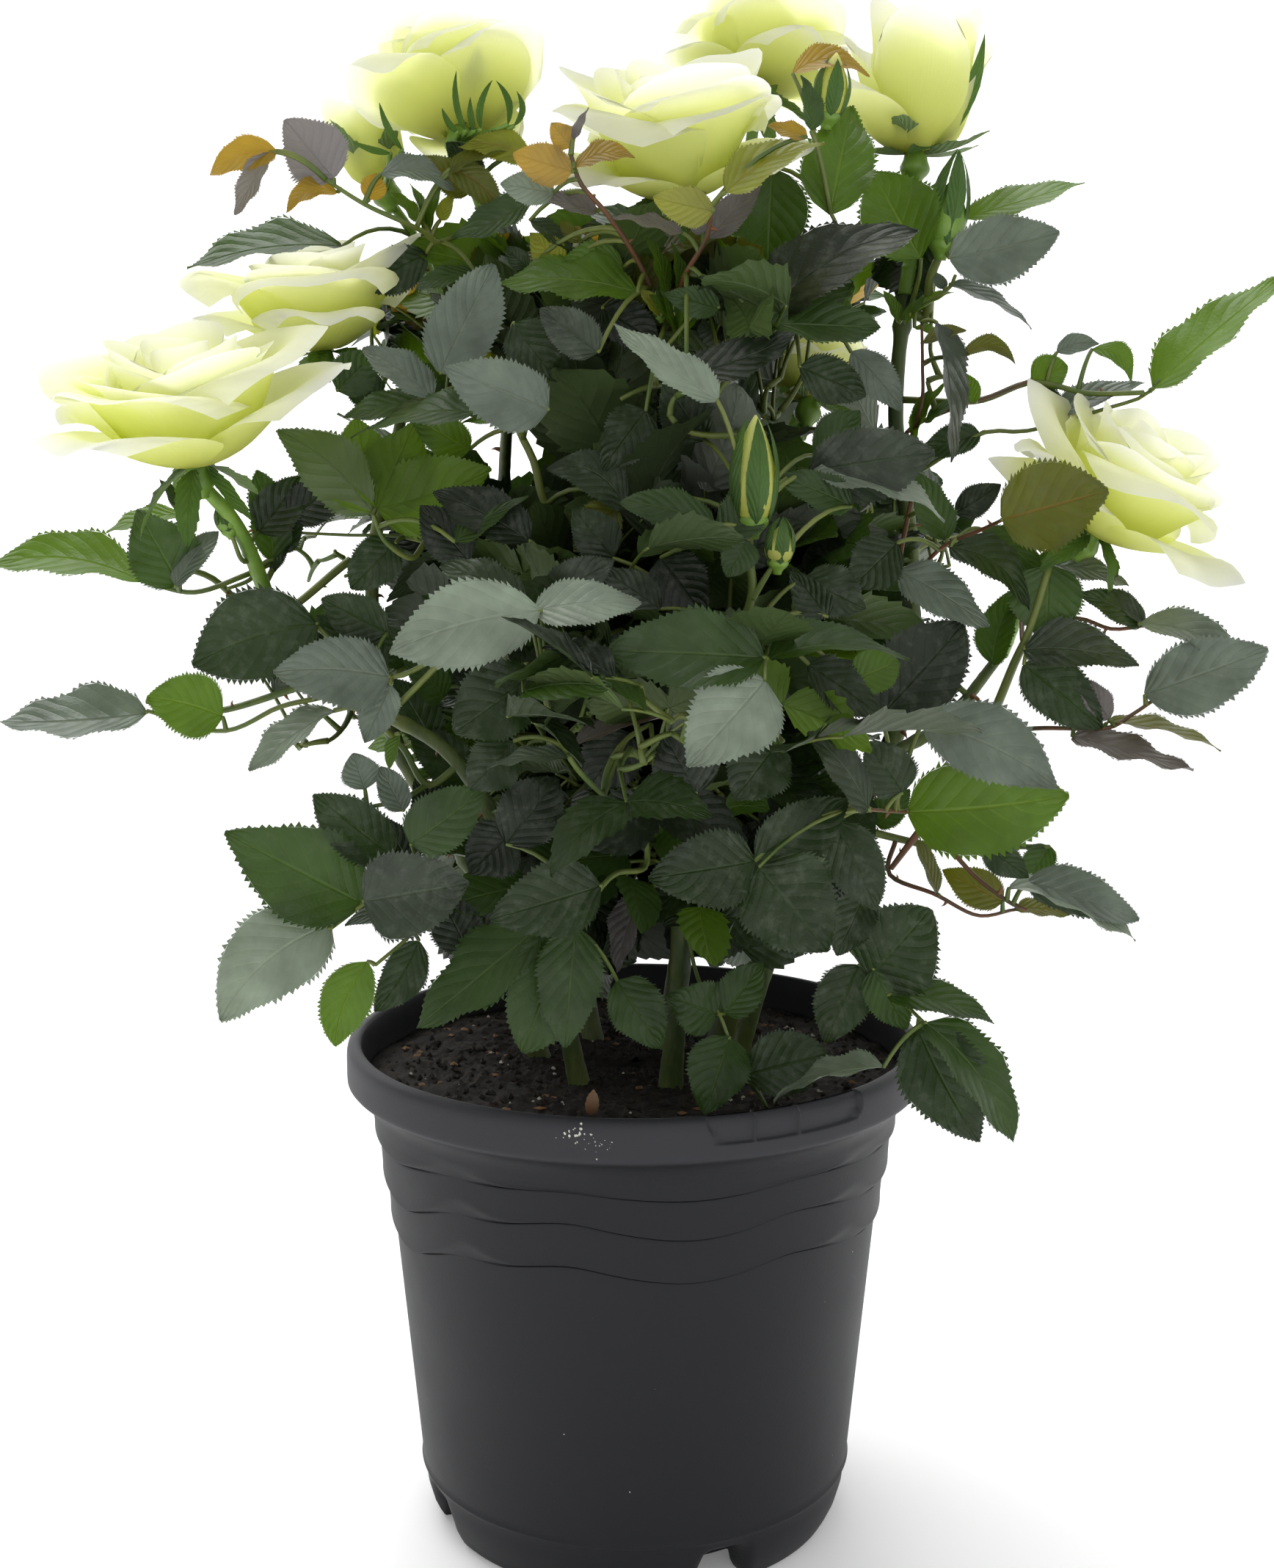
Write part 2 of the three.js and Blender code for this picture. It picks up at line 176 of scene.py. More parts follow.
# ---- leaf blades ----
def add_blades(pile, base, tip, lift, width, fold, arch=0.0, bow=0.0, twist=0.0, wave=0.03,
               rows=9, columns=4, teeth=1, bite=0.12):
    """Toothed leaf blades from base to tip, whose upper side looks along lift.

    Half width over length u: u^h (1-u)^t, with h from 0.52 to 0.66 and t from 0.78 to 1.02, scaled
    to half the width, one half a little wider, its margin swaying gently. Height over the chord:
    fold times the distance from the midrib, plus arch times length times 4u(1-u), plus a wave along
    the margin; the midrib leaves the chord sideways by bow times length times 4u(1-u), and the blade
    twists evenly about it. Each row after the first carries teeth that point forward, at most about
    bite times the half width long.
    """
    count = len(base)
    shape = [np.broadcast_to(np.asarray(x, float), (count,))[:, None] for x in
             (width, fold, arch, bow, twist, wave)]
    width, fold, arch, bow, twist, wave = shape
    run = tip - base
    length = np.linalg.norm(run, axis=1)[:, None]
    along = unit(run)
    up = square_off(lift, along)
    side = np.cross(up, along)
    phase = rng.uniform(0, 2 * np.pi, (count, 1))

    line = np.linspace(0, 1, rows + 1)
    line = 0.6 * line + 0.4 * (1 - np.cos(np.pi * line)) / 2
    u, a = np.meshgrid(line, np.linspace(-1, 1, columns + 1), indexing="ij")
    gap = np.diff(line)[1:, None]
    part = np.arange(teeth)
    points_at = (line[1:-1, None] + gap * (part + 0.88) / teeth).ravel()
    between = (line[1:-1, None] + gap * part[1:] / teeth).ravel()
    one, two = np.ones(len(points_at)), np.ones(len(between))
    u = np.concatenate([u.ravel(), points_at, points_at, between, between])
    a = np.concatenate([a.ravel(), one, -one, two, -two])
    head = rng.uniform(0.52, 0.66, (count, 1))
    tail = rng.uniform(0.78, 1.02, (count, 1))
    peak = (head / (head + tail)) ** head * (tail / (head + tail)) ** tail
    outline = (u + 0.003) ** head * (1.004 - u) ** tail / peak
    skew = 1 + 0.08 * rng.uniform(-1, 1, (count, 1)) * np.sign(a)
    sway = 1 + 0.04 * np.sin(8 * u + 2.5 * a + phase)
    first = (rows + 1) * (columns + 1)
    tooth = np.zeros((count, len(u)))
    tooth[:, first:first + 2 * len(one)] = bite * rng.uniform(0.35, 1.2, (count, 2 * len(one)))
    off = a * (outline * skew * sway + tooth * (0.45 + outline)) * width / 2
    hang = 4 * u * (1 - u)
    high = fold * np.abs(off) * (1 - 0.5 * u)
    high = high + wave * width * np.sin(5.2 * np.pi * u + phase + 1.3 * (a > 0)) * a * a
    angle = twist * (u - 0.4)
    flat = off * np.cos(angle) - high * np.sin(angle) + bow * length * hang
    high = off * np.sin(angle) + high * np.cos(angle) + arch * length * hang
    points = (base[:, None] + (u * length)[..., None] * along[:, None]
              + flat[..., None] * side[:, None] + high[..., None] * up[:, None])

    # each tooth: the margin's point before it, the one after it, and its own point
    i, k = np.meshgrid(np.arange(1, rows), part, indexing="ij")
    blocks = []
    for sign, edge in ((0, columns), (1, 0)):
        tips = first + sign * len(one) + (i - 1) * teeth + k
        mids = first + 2 * len(one) + sign * len(two) + (i - 1) * (teeth - 1) + k
        start = np.where(k == 0, i * (columns + 1) + edge, mids - 1)
        end = np.where(k == teeth - 1, (i + 1) * (columns + 1) + edge, mids)
        order = (start, end, tips) if sign == 0 else (end, start, tips)
        blocks.append(np.stack([x.ravel() for x in order], 1))
    pile.add(points, np.stack([u, 0.5 + 0.5 * a], 1), [grid_faces(rows, columns), *blocks])


# ---- round bars: canes, stems, twigs and stalks ----
def add_bars(pile, paths, radii, sides=6, relief=0.0, rounded=True):
    """Round bars along paths (n, k, 3) with radii (n, k); relief roughens the radius by that share.

    Each ring is the path's point plus the radius times cos and sin of two directions square to the
    run; end fans close the bar.
    """
    count, steps = paths.shape[:2]
    along = unit(np.gradient(paths, axis=1))
    run = unit(paths[:, -1] - paths[:, 0])
    guide = np.eye(3)[np.argmin(np.abs(run), axis=1)][:, None]
    across = square_off(np.broadcast_to(guide, along.shape), along)
    third = np.cross(along, across)
    turn = np.arange(sides) / sides * 2 * np.pi
    rough = 1 + relief * rng.uniform(-1, 1, (count, steps, sides))
    ring = np.cos(turn)[:, None] * across[:, :, None] + np.sin(turn)[:, None] * third[:, :, None]
    points = paths[:, :, None] + (radii[:, :, None] * rough)[..., None] * ring
    ends = np.stack([paths[:, 0], paths[:, -1]], 1)
    if rounded:
        ends[:, 1] += 0.4 * radii[:, -1, None] * along[:, -1]
    points = np.concatenate([points.reshape(count, -1, 3), ends], 1)
    j = np.arange(sides)
    k = (j + 1) % sides
    last = (steps - 1) * sides
    caps = np.concatenate([
        np.stack([k, j, np.full(sides, steps * sides)], 1),
        np.stack([last + j, last + k, np.full(sides, steps * sides + 1)], 1),
    ])
    v, w = np.meshgrid(np.linspace(0, 1, steps), j / sides, indexing="ij")
    surface = np.concatenate([np.stack([0.55 * v.ravel(), w.ravel()], 1), [[0, 0.5], [0.55, 0.5]]])
    pile.add(points, surface, [grid_faces(steps - 1, sides, ring=True)[:, ::-1], caps])


def smooth_line(points, steps):
    """A Catmull-Rom line through the points, cut into even parts of its length."""
    points = np.asarray(points, float)
    ends = np.concatenate([[2 * points[0] - points[1]], points, [2 * points[-1] - points[-2]]])
    t = np.linspace(0, len(points) - 1 - 1e-9, 12 * len(points))
    i = t.astype(int)
    f = (t - i)[:, None]
    a, b, c, d = ends[i], ends[i + 1], ends[i + 2], ends[i + 3]
    square, cube = 2 * a - 5 * b + 4 * c - d, 3 * b - a - 3 * c + d
    line = 0.5 * (2 * b + (c - a) * f + square * f**2 + cube * f**3)
    gone = np.concatenate([[0], np.cumsum(np.linalg.norm(np.diff(line, axis=0), axis=1))])
    even = np.linspace(0, gone[-1], steps)
    return np.stack([np.interp(even, gone, line[:, axis]) for axis in range(3)], 1)


def add_thorns(pile, path, radius, every, size):
    """Hooked prickles on a line: short cones that lean back along the run."""
    length = np.linalg.norm(np.diff(path, axis=0), axis=1).sum()
    count = max(1, int(length / every))
    place = np.clip((np.arange(count) + rng.uniform(0.2, 0.8, count)) / count, 0, 1) * (len(path) - 1)
    i = np.minimum(place.astype(int), len(path) - 2)
    foot = path[i] + (place - i)[:, None] * (path[i + 1] - path[i])
    along = unit(path[i + 1] - path[i])
    out = square_off(rng.normal(size=(count, 3)), along)
    size = size * rng.uniform(0.6, 1.1, (count, 1))
    start = foot + 0.5 * radius * out
    knee = foot + (radius + 0.5 * size) * out - 0.1 * size * along
    point = foot + (radius + size) * out - 0.45 * size * along
    paths = np.stack([start, knee, point], 1)
    radii = np.concatenate([0.36 * size, 0.18 * size, 0.02 * size], 1)
    add_bars(pile, paths, radii, sides=5, rounded=False)


# ---- materials ----
def rgb(red, green, blue):
    """A screen colour of 0 to 255 a part as linear light, and 1 for its alpha."""
    parts = np.array([red, green, blue]) / 255
    linear = np.where(parts <= 0.04045, parts / 12.92, ((parts + 0.055) / 1.055) ** 2.4)
    return (*(float(x) for x in linear), 1.0)


def set_inputs(tree, node, values):
    """Gives each named or numbered input its plain value, or links it to the socket given."""
    for key, value in values.items():
        if isinstance(value, bpy.types.NodeSocket):
            tree.links.new(value, node.inputs[key])
        else:
            node.inputs[key].default_value = value


def add_node(tree, kind, values=None, **settings):
    """A shader node of the kind with its settings and its input values."""
    node = tree.nodes.new("ShaderNode" + kind)
    for key, value in settings.items():
        setattr(node, key, value)
    set_inputs(tree, node, values or {})
    return node


def new_material(name, roughness):
    """A material with one Principled shader; gives the material, its tree, the shader, the output."""
    material = bpy.data.materials.new(name)
    material.use_nodes = True
    tree = material.node_tree
    tree.nodes.clear()
    out = add_node(tree, "OutputMaterial")
    shader = add_node(tree, "BsdfPrincipled", {"Roughness": roughness})
    tree.links.new(shader.outputs[0], out.inputs["Surface"])
    return material, tree, shader, out


def calc(tree, operation, *terms):
    """A Math node on sockets or plain numbers."""
    return add_node(tree, "Math", dict(enumerate(terms)), operation=operation).outputs[0]


def blend_of(tree, share, first, second):
    """A colour Mix node on sockets or plain colours."""
    return add_node(tree, "Mix", {0: share, 6: first, 7: second}, data_type="RGBA").outputs[2]


def ramp_of(tree, value, low, high, to_low=0.0, to_high=1.0):
    """The value carried from low..high to to_low..to_high, and held there beyond them."""
    values = {0: value, 1: low, 2: high, 3: to_low, 4: to_high}
    return add_node(tree, "MapRange", values).outputs[0]


def noise_of(tree, scale, detail, roughness=0.5, stretch=None, place=None):
    """Noise over the object's own coordinates or over place, which stretch multiplies first."""
    if place is None:
        place = add_node(tree, "TexCoord").outputs["Object"]
    if stretch is not None:
        place = add_node(tree, "Mapping", {"Vector": place, "Scale": stretch}).outputs[0]
    values = {"Vector": place, "Scale": scale, "Detail": detail, "Roughness": roughness}
    return add_node(tree, "TexNoise", values).outputs[0]


def bump_of(tree, height, strength, depth):
    """The normal of a small relief, depth in metres."""
    return add_node(tree, "Bump", {"Height": height, "Strength": strength, "Distance": depth}).outputs[0]


def pass_light(tree, shader, out, share, colour):
    """Mixes a share of light that comes through from behind into the finish."""
    glow = add_node(tree, "BsdfTranslucent", {"Color": colour})
    both = add_node(tree, "MixShader", {0: share, 1: shader.outputs[0], 2: glow.outputs[0]})
    tree.links.new(both.outputs[0], out.inputs["Surface"])


def new_group(name, inputs, outputs):
    """An empty shader node group with named sockets; sockets are (kind, name, value)."""
    group = bpy.data.node_groups.new(name, "ShaderNodeTree")
    for kind, label, value in inputs:
        socket = group.interface.new_socket(label, in_out="INPUT", socket_type="NodeSocket" + kind)
        socket.default_value = value
    for kind, label in outputs:
        group.interface.new_socket(label, in_out="OUTPUT", socket_type="NodeSocket" + kind)
    enter = group.nodes.new("NodeGroupInput")
    leave = group.nodes.new("NodeGroupOutput")
    return group, enter, leave


def vein_group():
    """Veins of a leaf blade from its surface coordinates u (base to tip) and v (0.5 on the midrib).

    Midrib: 1 on v = 0.5 and 0 from |2v-1| = 0.055 on. Side veins: thin peaks of the saw of
    (u - 0.34 |2v-1|) times seven, fainter towards the margin. Colour: the blade's, lighter and
    darker in blotches, the vein's along the veins, and a pale film where dust lies. Height: rounded
    pads between the side veins, sunk along the midrib, with a fine grain.
    """
    group, enter, leave = new_group("leaf_veins", [
        ("Color", "Blade", (0.05, 0.09, 0.03, 1)),
        ("Color", "Vein", (0.1, 0.15, 0.05, 1)),
        ("Float", "Vein strength", 0.5),
        ("Float", "Blotch", 1.5),
        ("Float", "Dust", 0.5),
    ], [("Color", "Color"), ("Float", "Height")])
    given = enter.outputs
    place = add_node(group, "UVMap", uv_map="surface").outputs[0]
    parts = add_node(group, "SeparateXYZ", {0: place}).outputs
    off = calc(group, "ABSOLUTE", calc(group, "MULTIPLY_ADD", parts[1], 2.0, -1.0))
    midrib = calc(group, "MAXIMUM", calc(group, "SUBTRACT", 1.0, calc(group, "DIVIDE", off, 0.055)), 0.0)
    run = calc(group, "MULTIPLY", calc(group, "MULTIPLY_ADD", off, -0.34, parts[0]), 7.0)
    gap = calc(group, "ABSOLUTE", calc(group, "SUBTRACT", calc(group, "FRACT", run), 0.5))
    side = calc(group, "MAXIMUM", calc(group, "SUBTRACT", 1.0, calc(group, "DIVIDE", gap, 0.09)), 0.0)
    side = calc(group, "MULTIPLY", side, calc(group, "SUBTRACT", 0.9, off))
    veins = calc(group, "MAXIMUM", midrib, calc(group, "MULTIPLY", side, 0.62))
    shade = calc(group, "MULTIPLY_ADD", noise_of(group, 55.0, 3.0, 0.6), given["Blotch"], 1.0)
    shade = calc(group, "SUBTRACT", shade, calc(group, "MULTIPLY", given["Blotch"], 0.5))
    tinted = add_node(group, "VectorMath", {0: given["Blade"], "Scale": shade}, operation="SCALE").outputs[0]
    share = calc(group, "MULTIPLY", veins, given["Vein strength"])
    colour = blend_of(group, share, tinted, given["Vein"])
    film = ramp_of(group, noise_of(group, 190.0, 6.0, 0.7), 0.5, 0.74)
    film = calc(group, "MULTIPLY", film, given["Dust"])
    pale = blend_of(group, 0.35, colour, (0.3, 0.33, 0.27, 1))
    pads = calc(group, "MULTIPLY", calc(group, "SQRT", calc(group, "MULTIPLY", gap, 2.0)), 0.5)
    height = calc(group, "SUBTRACT", pads, calc(group, "MULTIPLY", midrib, 0.6))
    height = calc(group, "MULTIPLY_ADD", noise_of(group, 900.0, 2.0), 0.25, height)
    set_inputs(group, leave, {"Color": blend_of(group, film, colour, pale), "Height": height})
    return group


VEINS = vein_group()
DUSTY_BELOW = 0.16  # leaves that let less light through than this share are old and dusty


def leaf_material(name, upper, lower, vein, through, roughness, share, strength):
    """A leaf finish: veined upper side, plainer under side, and light passing through."""
    material, tree, shader, out = new_material(name, roughness)
    dust = 0.5 if share < DUSTY_BELOW else 0.2
    values = {"Blade": rgb(*upper), "Vein": rgb(*vein), "Vein strength": strength, "Dust": dust}
    veins = add_node(tree, "Group", values, node_tree=VEINS).outputs
    behind = add_node(tree, "NewGeometry").outputs["Backfacing"]
    set_inputs(tree, shader, {
        "Base Color": blend_of(tree, behind, veins["Color"], rgb(*lower)),
        "Specular IOR Level": 0.34,
        "Normal": bump_of(tree, veins["Height"], 0.65, 0.0009),
    })
    pass_light(tree, shader, out, share, rgb(*through))
    return material


LEAF_TINTS = {
    # name: upper side, under side, vein, light passing through, roughness, share, vein strength
    "deep": ((32, 47, 20), (66, 80, 48), (66, 84, 42), (56, 88, 12), 0.42, 0.15, 0.32),
    # painted shade: a darker copy of the deep green for leaves inside the crown, where shade falls
    "shade_dark": ((23, 33, 17), (50, 62, 38), (48, 62, 32), (34, 56, 8), 0.42, 0.1, 0.32),
    "mid": ((46, 67, 28), (80, 96, 56), (92, 114, 54), (78, 114, 18), 0.42, 0.2, 0.4),
    # painted sheen: the deep green greyed as by a dim reflection of the sky
    "dim_sheen": ((52, 61, 47), (78, 87, 70), (84, 96, 74), (52, 72, 24), 0.4, 0.12, 0.4),
    # painted sheen: a light grey-green that stands for the sky's reflection on glossy leaves
    "grey": ((99, 110, 97), (114, 121, 109), (130, 140, 121), (66, 84, 40), 0.38, 0.12, 0.42),
    # painted highlight: a paler grey-green still, for leaves that reflect the sky most
    "pale": ((126, 138, 121), (140, 149, 135), (158, 169, 147), (92, 112, 56), 0.4, 0.14, 0.45),
    # partly the lighter green of young growth, partly painted backlight where light shines through the leaf
    "young_and_backlit": ((70, 99, 24), (92, 120, 40), (126, 150, 60), (110, 146, 20), 0.42, 0.28, 0.5),
    "olive": ((78, 86, 26), (104, 106, 50), (146, 88, 44), (124, 124, 20), 0.42, 0.28, 0.5),
    "gold": ((126, 132, 42), (146, 146, 76), (176, 136, 58), (172, 178, 40), 0.42, 0.36, 0.5),
    "bronze": ((144, 118, 38), (138, 116, 70), (176, 134, 60), (212, 170, 44), 0.42, 0.36, 0.5),
    "plum": ((100, 96, 95), (134, 130, 130), (122, 106, 100), (110, 94, 70), 0.45, 0.14, 0.4),
}
# deeper yellow at the claw is partly the petal's own colour and partly painted shade in the bloom's depth;
# the near-white rim is partly painted highlight
PETAL_STOPS = (
    # share of the petal's length, colour; the first two are the ramp's ends
    (0.0, (232, 234, 112)), (1.0, (255, 255, 250)),
    (0.36, (243, 247, 150)), (0.64, (250, 253, 186)), (0.86, (254, 255, 226)),
)


def petal_material():
    """Petal finish: yellow-green at the claw, cream on the blade, nearly white at the rolled rim. The deeper
    yellow at the claw is partly the petal's own colour and partly painted shade in the bloom's depth; the
    near-white rim is partly painted highlight.
    """
    material, tree, shader, out = new_material("petal", 0.5)
    place = add_node(tree, "UVMap", uv_map="surface").outputs[0]
    along = add_node(tree, "SeparateXYZ", {0: place}).outputs[0]
    ramp = add_node(tree, "ValToRGB", {0: along})
    stops = ramp.color_ramp.elements
    for index, (position, colour) in enumerate(PETAL_STOPS):
        stop = stops[index] if index < 2 else stops.new(position)
        stop.position = position
        stop.color = rgb(*colour)
    streak = noise_of(tree, 4.0, 4.0, stretch=(1.2, 14, 1), place=place)
    faint = calc(tree, "MULTIPLY", streak, 0.14)
    colour = blend_of(tree, faint, ramp.outputs[0], rgb(228, 232, 140))
    set_inputs(tree, shader, {"Base Color": colour, "Normal": bump_of(tree, streak, 0.35, 0.0005)})
    pass_light(tree, shader, out, 0.58, colour)
    return material


def pot_material():
    """Moulded charcoal plastic: even colour, dusty bloom by broad noise, a rim made paler by painted
    highlight, fine grain.
    """
    material, tree, shader, _ = new_material("pot_plastic", 0.5)
    place = add_node(tree, "TexCoord").outputs["Object"]
    height = add_node(tree, "SeparateXYZ", {0: place}).outputs[2]
    dust = noise_of(tree, 16.0, 6.0, 0.6)
    # painted highlight: from 173.5 mm up the paler colour's share rises by 0.42, so the rim is lighter
    share = calc(tree, "MULTIPLY_ADD", dust, 0.22, ramp_of(tree, height, 0.1735, 0.1755, 0.0, 0.42))
    set_inputs(tree, shader, {
        "Base Color": blend_of(tree, share, rgb(17, 18, 22), rgb(62, 62, 67)),
        "Roughness": ramp_of(tree, dust, 0.0, 1.0, 0.42, 0.66),
        "Specular IOR Level": 0.27,
        "Normal": bump_of(tree, noise_of(tree, 1400.0, 2.0), 0.25, 0.0003),
    })
    return material


def two_tone(name, low, high, roughness, noise, limits=None, relief=None, stretch=None):
    """A finish of two colours blended by noise, given as its scale, detail and roughness.

    The second colour's share is the noise's run between the limits. Relief is the strength and the
    depth in metres of a bump from the same noise.
    """
    material, tree, shader, _ = new_material(name, roughness)
    cloud = noise_of(tree, *noise, stretch=stretch)
    share = cloud if limits is None else ramp_of(tree, cloud, *limits)
    set_inputs(tree, shader, {"Base Color": blend_of(tree, share, rgb(*low), rgb(*high))})
    if relief is not None:
        set_inputs(tree, shader, {"Normal": bump_of(tree, cloud, *relief)})
    return material


def stem_material(name, low, high, roughness, depth, scale):
    """A stem finish, whose noise and relief are drawn out lengthwise."""
    return two_tone(name, low, high, roughness, (scale, 5.0, 0.65), (0.35, 0.68), (0.7, depth), (1, 1, 0.22))


def crumb_material(name, low, high):
    """Small solid bits in two tones."""
    return two_tone(name, low, high, 0.8, (300.0, 3.0))


TINT_MATERIAL = {name: leaf_material("leaf_" + name, *look) for name, look in LEAF_TINTS.items()}
PETAL_MATERIAL = petal_material()
CANE_MATERIAL = stem_material("cane_bark", (50, 68, 30), (98, 110, 50), 0.55, 0.0008, 90.0)
STEM_MATERIAL = stem_material("green_stem", (78, 112, 34), (122, 156, 58), 0.42, 0.0003, 60.0)
STALK_MATERIAL = stem_material("leaf_stalk", (70, 92, 34), (112, 120, 54), 0.5, 0.0002, 40.0)
TWIG_MATERIAL = stem_material("thin_twig", (72, 58, 34), (120, 74, 48), 0.5, 0.0002, 50.0)
THORN_MATERIAL = stem_material("thorn", (110, 66, 40), (140, 100, 60), 0.5, 0.0001, 60.0)
SEPAL_MATERIAL = leaf_material("sepal", (66, 96, 40), (110, 130, 84), (120, 140, 70), (110, 150, 40),
                               0.5, 0.2, 0.3)
POT_MATERIAL = pot_material()
SOIL_MATERIAL = two_tone("compost", (19, 16, 13), (60, 47, 35), 0.85, (160.0, 8.0, 0.75),
                         (0.42, 0.72), (1.0, 0.002))

# ---- limbs: canes from the compost up, the stems of the blooms and the side twigs ----
SOIL_TOP = 177.0
POT_HEIGHT = 190
CANES = {
    # name: the spots its line goes through from the compost up, base radius
    "cane_front": ([(13, -30, 172), (17, -40, 245), (14, -48, 318), (16, -46, 384), (8, -20, 448)], 4.2),
    "cane_front_left": ([(-20, -24, 172), (-34, -34, 238), (-62, -44, 300), (-98, -36, 322),
                         (-126, -28, 340)], 3.8),
    "cane_front_right": ([(36, -14, 172), (54, -30, 238), (84, -42, 296), (112, -32, 314),
                          (134, -20, 338)], 3.6),
    "cane_left": ([(-36, 8, 172), (-56, 6, 240), (-92, 2, 306), (-98, 0, 366), (-86, 0, 424)], 4.0),
    "cane_right": ([(30, 20, 172), (56, 16, 236), (98, 6, 302), (104, 6, 364), (97, 6, 424),
                    (100, 4, 474)], 4.8),
    "cane_back_left": ([(-16, 32, 172), (-28, 52, 240), (-46, 86, 312), (-52, 56, 388), (-44, -4, 452)], 3.8),
    "cane_back": ([(12, 38, 172), (22, 58, 240), (30, 92, 312), (40, 72, 392), (36, 40, 470)], 3.6),
}
STEMS = {
    # name: spots from the crown's inside up to below the bloom, the bloom it carries, base radius
    "stem_top_left": ([(-44, -4, 452), (-52, -14, 490)], "bloom_top_left", 3.2),
    "stem_half_open_left": ([(-50, 30, 425), (-70, 18, 460), (-80, 20, 486)], "bloom_half_open_left", 2.2),
    "stem_centre": ([(8, -20, 448), (13, -30, 476)], "bloom_centre", 3.2),
    "stem_top_back": ([(36, 40, 470), (42, 38, 512)], "bloom_top_back", 2.8),
    "stem_top_right": ([(100, 4, 468), (102, 3, 488)], "bloom_top_right", 3.4),
    "stem_left_upper": ([(-86, 0, 424), (-108, -8, 438)], "bloom_left_upper", 2.6),
    "stem_left_large": ([(-126, -28, 340), (-134, -62, 382)], "bloom_left_large", 3.0),
    "stem_right": ([(134, -20, 338), (143, -42, 372)], "bloom_right", 2.7),
    "stem_inner_back": ([(42, 64, 388), (56, 40, 400), (64, 50, 418)], "bloom_inner_back", 2.4),
}
TWIGS = {
    # name: spots from the limb out, base radius
    "twig_left_upper": ([(-104, -14, 372), (-132, -26, 352), (-150, -46, 368), (-170, -56, 373)], 1.6),
    "twig_left_lower": ([(-112, -30, 330), (-150, -26, 318), (-160, -40, 323), (-172, -50, 324)], 1.5),
    "twig_right_upper": ([(99, 4, 430), (123, -16, 429), (140, -32, 435), (158, -40, 431),
                          (176, -47, 431)], 1.4),
    "twig_right_lower": ([(74, -38, 278), (112, -30, 268), (134, -28, 268), (152, -30, 268)], 1.6),
}
BLOOMS = {
    # name: middle, the way it faces, radius, height
    "bloom_top_left": ((-64, -14, 539), (-0.12, 0.42, 0.9), 31, 40),
    "bloom_half_open_left": ((-97, 8, 524), (-0.3, 0.1, 0.95), 18, 35),
    "bloom_centre": ((13, -42, 520), (-0.05, -0.3, 0.95), 38, 50),
    "bloom_top_back": ((48, 42, 561), (0.1, 0.3, 0.95), 31, 37),
    "bloom_top_right": ((103, 2, 543), (0.05, 0.05, 1), 28, 53),
    "bloom_left_upper": ((-114, -20, 465), (-0.08, -0.12, 1), 37, 39),
    "bloom_left_large": ((-147, -86, 428), (-0.1, -0.22, 1), 42, 46),
    "bloom_right": ((170, -56, 401), (0.5, -0.26, 0.82), 38, 45),
    "bloom_inner_back": ((70, 58, 446), (0.1, 0.35, 0.93), 24, 34),
}

canes, stems, stalks, thorns, brown_twigs = Pile(), Pile(), Pile(), Pile(), Pile()
skeleton = []  # points of every limb and twig, for the next twig to grow from


CANE_STEPS = 110
STEM_STEPS = 60
TWIG_STEPS = 26


def node_swell(share, knots, height):
    """One plus a low bump at each leaf scar along the limb."""
    return 1 + height * np.exp(-(((share[:, None] - knots) / 0.008) ** 2)).sum(1)


def grow_cane(points, radius):
    """A woody cane: Catmull-Rom line, radius falling to half, wider foot, swollen scars, thorns."""
    line = smooth_line(points, CANE_STEPS)
    share = np.linspace(0, 1, CANE_STEPS)
    knots = np.sort(rng.uniform(0.08, 0.98, 9))
    radii = radius * (1 - 0.48 * share) * node_swell(share, knots, 0.16)
    radii = radii * (1 + 0.35 * np.exp(-share * 40))
    add_bars(canes, line[None], radii[None], sides=18, relief=0.035)
    add_thorns(thorns, line[12:], radius * 0.7, 26, 4.2)
    skeleton.append(line[30:])


def grow_stem(points, radius, end):
    """A green flower stem that thins out towards its hip, with swollen scars and small thorns."""
    line = smooth_line([*points, end], STEM_STEPS)
    share = np.linspace(0, 1, STEM_STEPS)
    radii = radius * (1 - 0.22 * share) * node_swell(share, rng.uniform(0.1, 0.8, 3), 0.12)
    add_bars(stems, line[None], radii[None], sides=14, relief=0.012)
    add_thorns(thorns, line[4:-8], radius * 0.85, 30, 3.2)
    skeleton.append(line[:-12])


def grow_twig(points, radius, thorny=True, pile=stalks):
    """A thin twig on a smooth line."""
    line = smooth_line(points, TWIG_STEPS)
    share = np.linspace(0, 1, TWIG_STEPS)
    add_bars(pile, line[None], (radius * (1 - 0.35 * share))[None], sides=7)
    if thorny:
        add_thorns(thorns, line, radius * 0.8, 22, 2.6)
    skeleton.append(line)


def bloom_axis(name):
    """Base point, facing direction, radius and height of a bloom."""
    at, face, radius, height = BLOOMS[name]
    face = unit(np.array(face, float))
    return np.array(at, float) - 0.5 * height * face, face, radius, height


for points, radius in CANES.values():
    grow_cane(points, radius)
for points, bloom, radius in STEMS.values():
    base, face, _, _ = bloom_axis(bloom)
    grow_stem(points, radius, base - 5 * face)
for points, radius in TWIGS.values():
    grow_twig(points, radius)

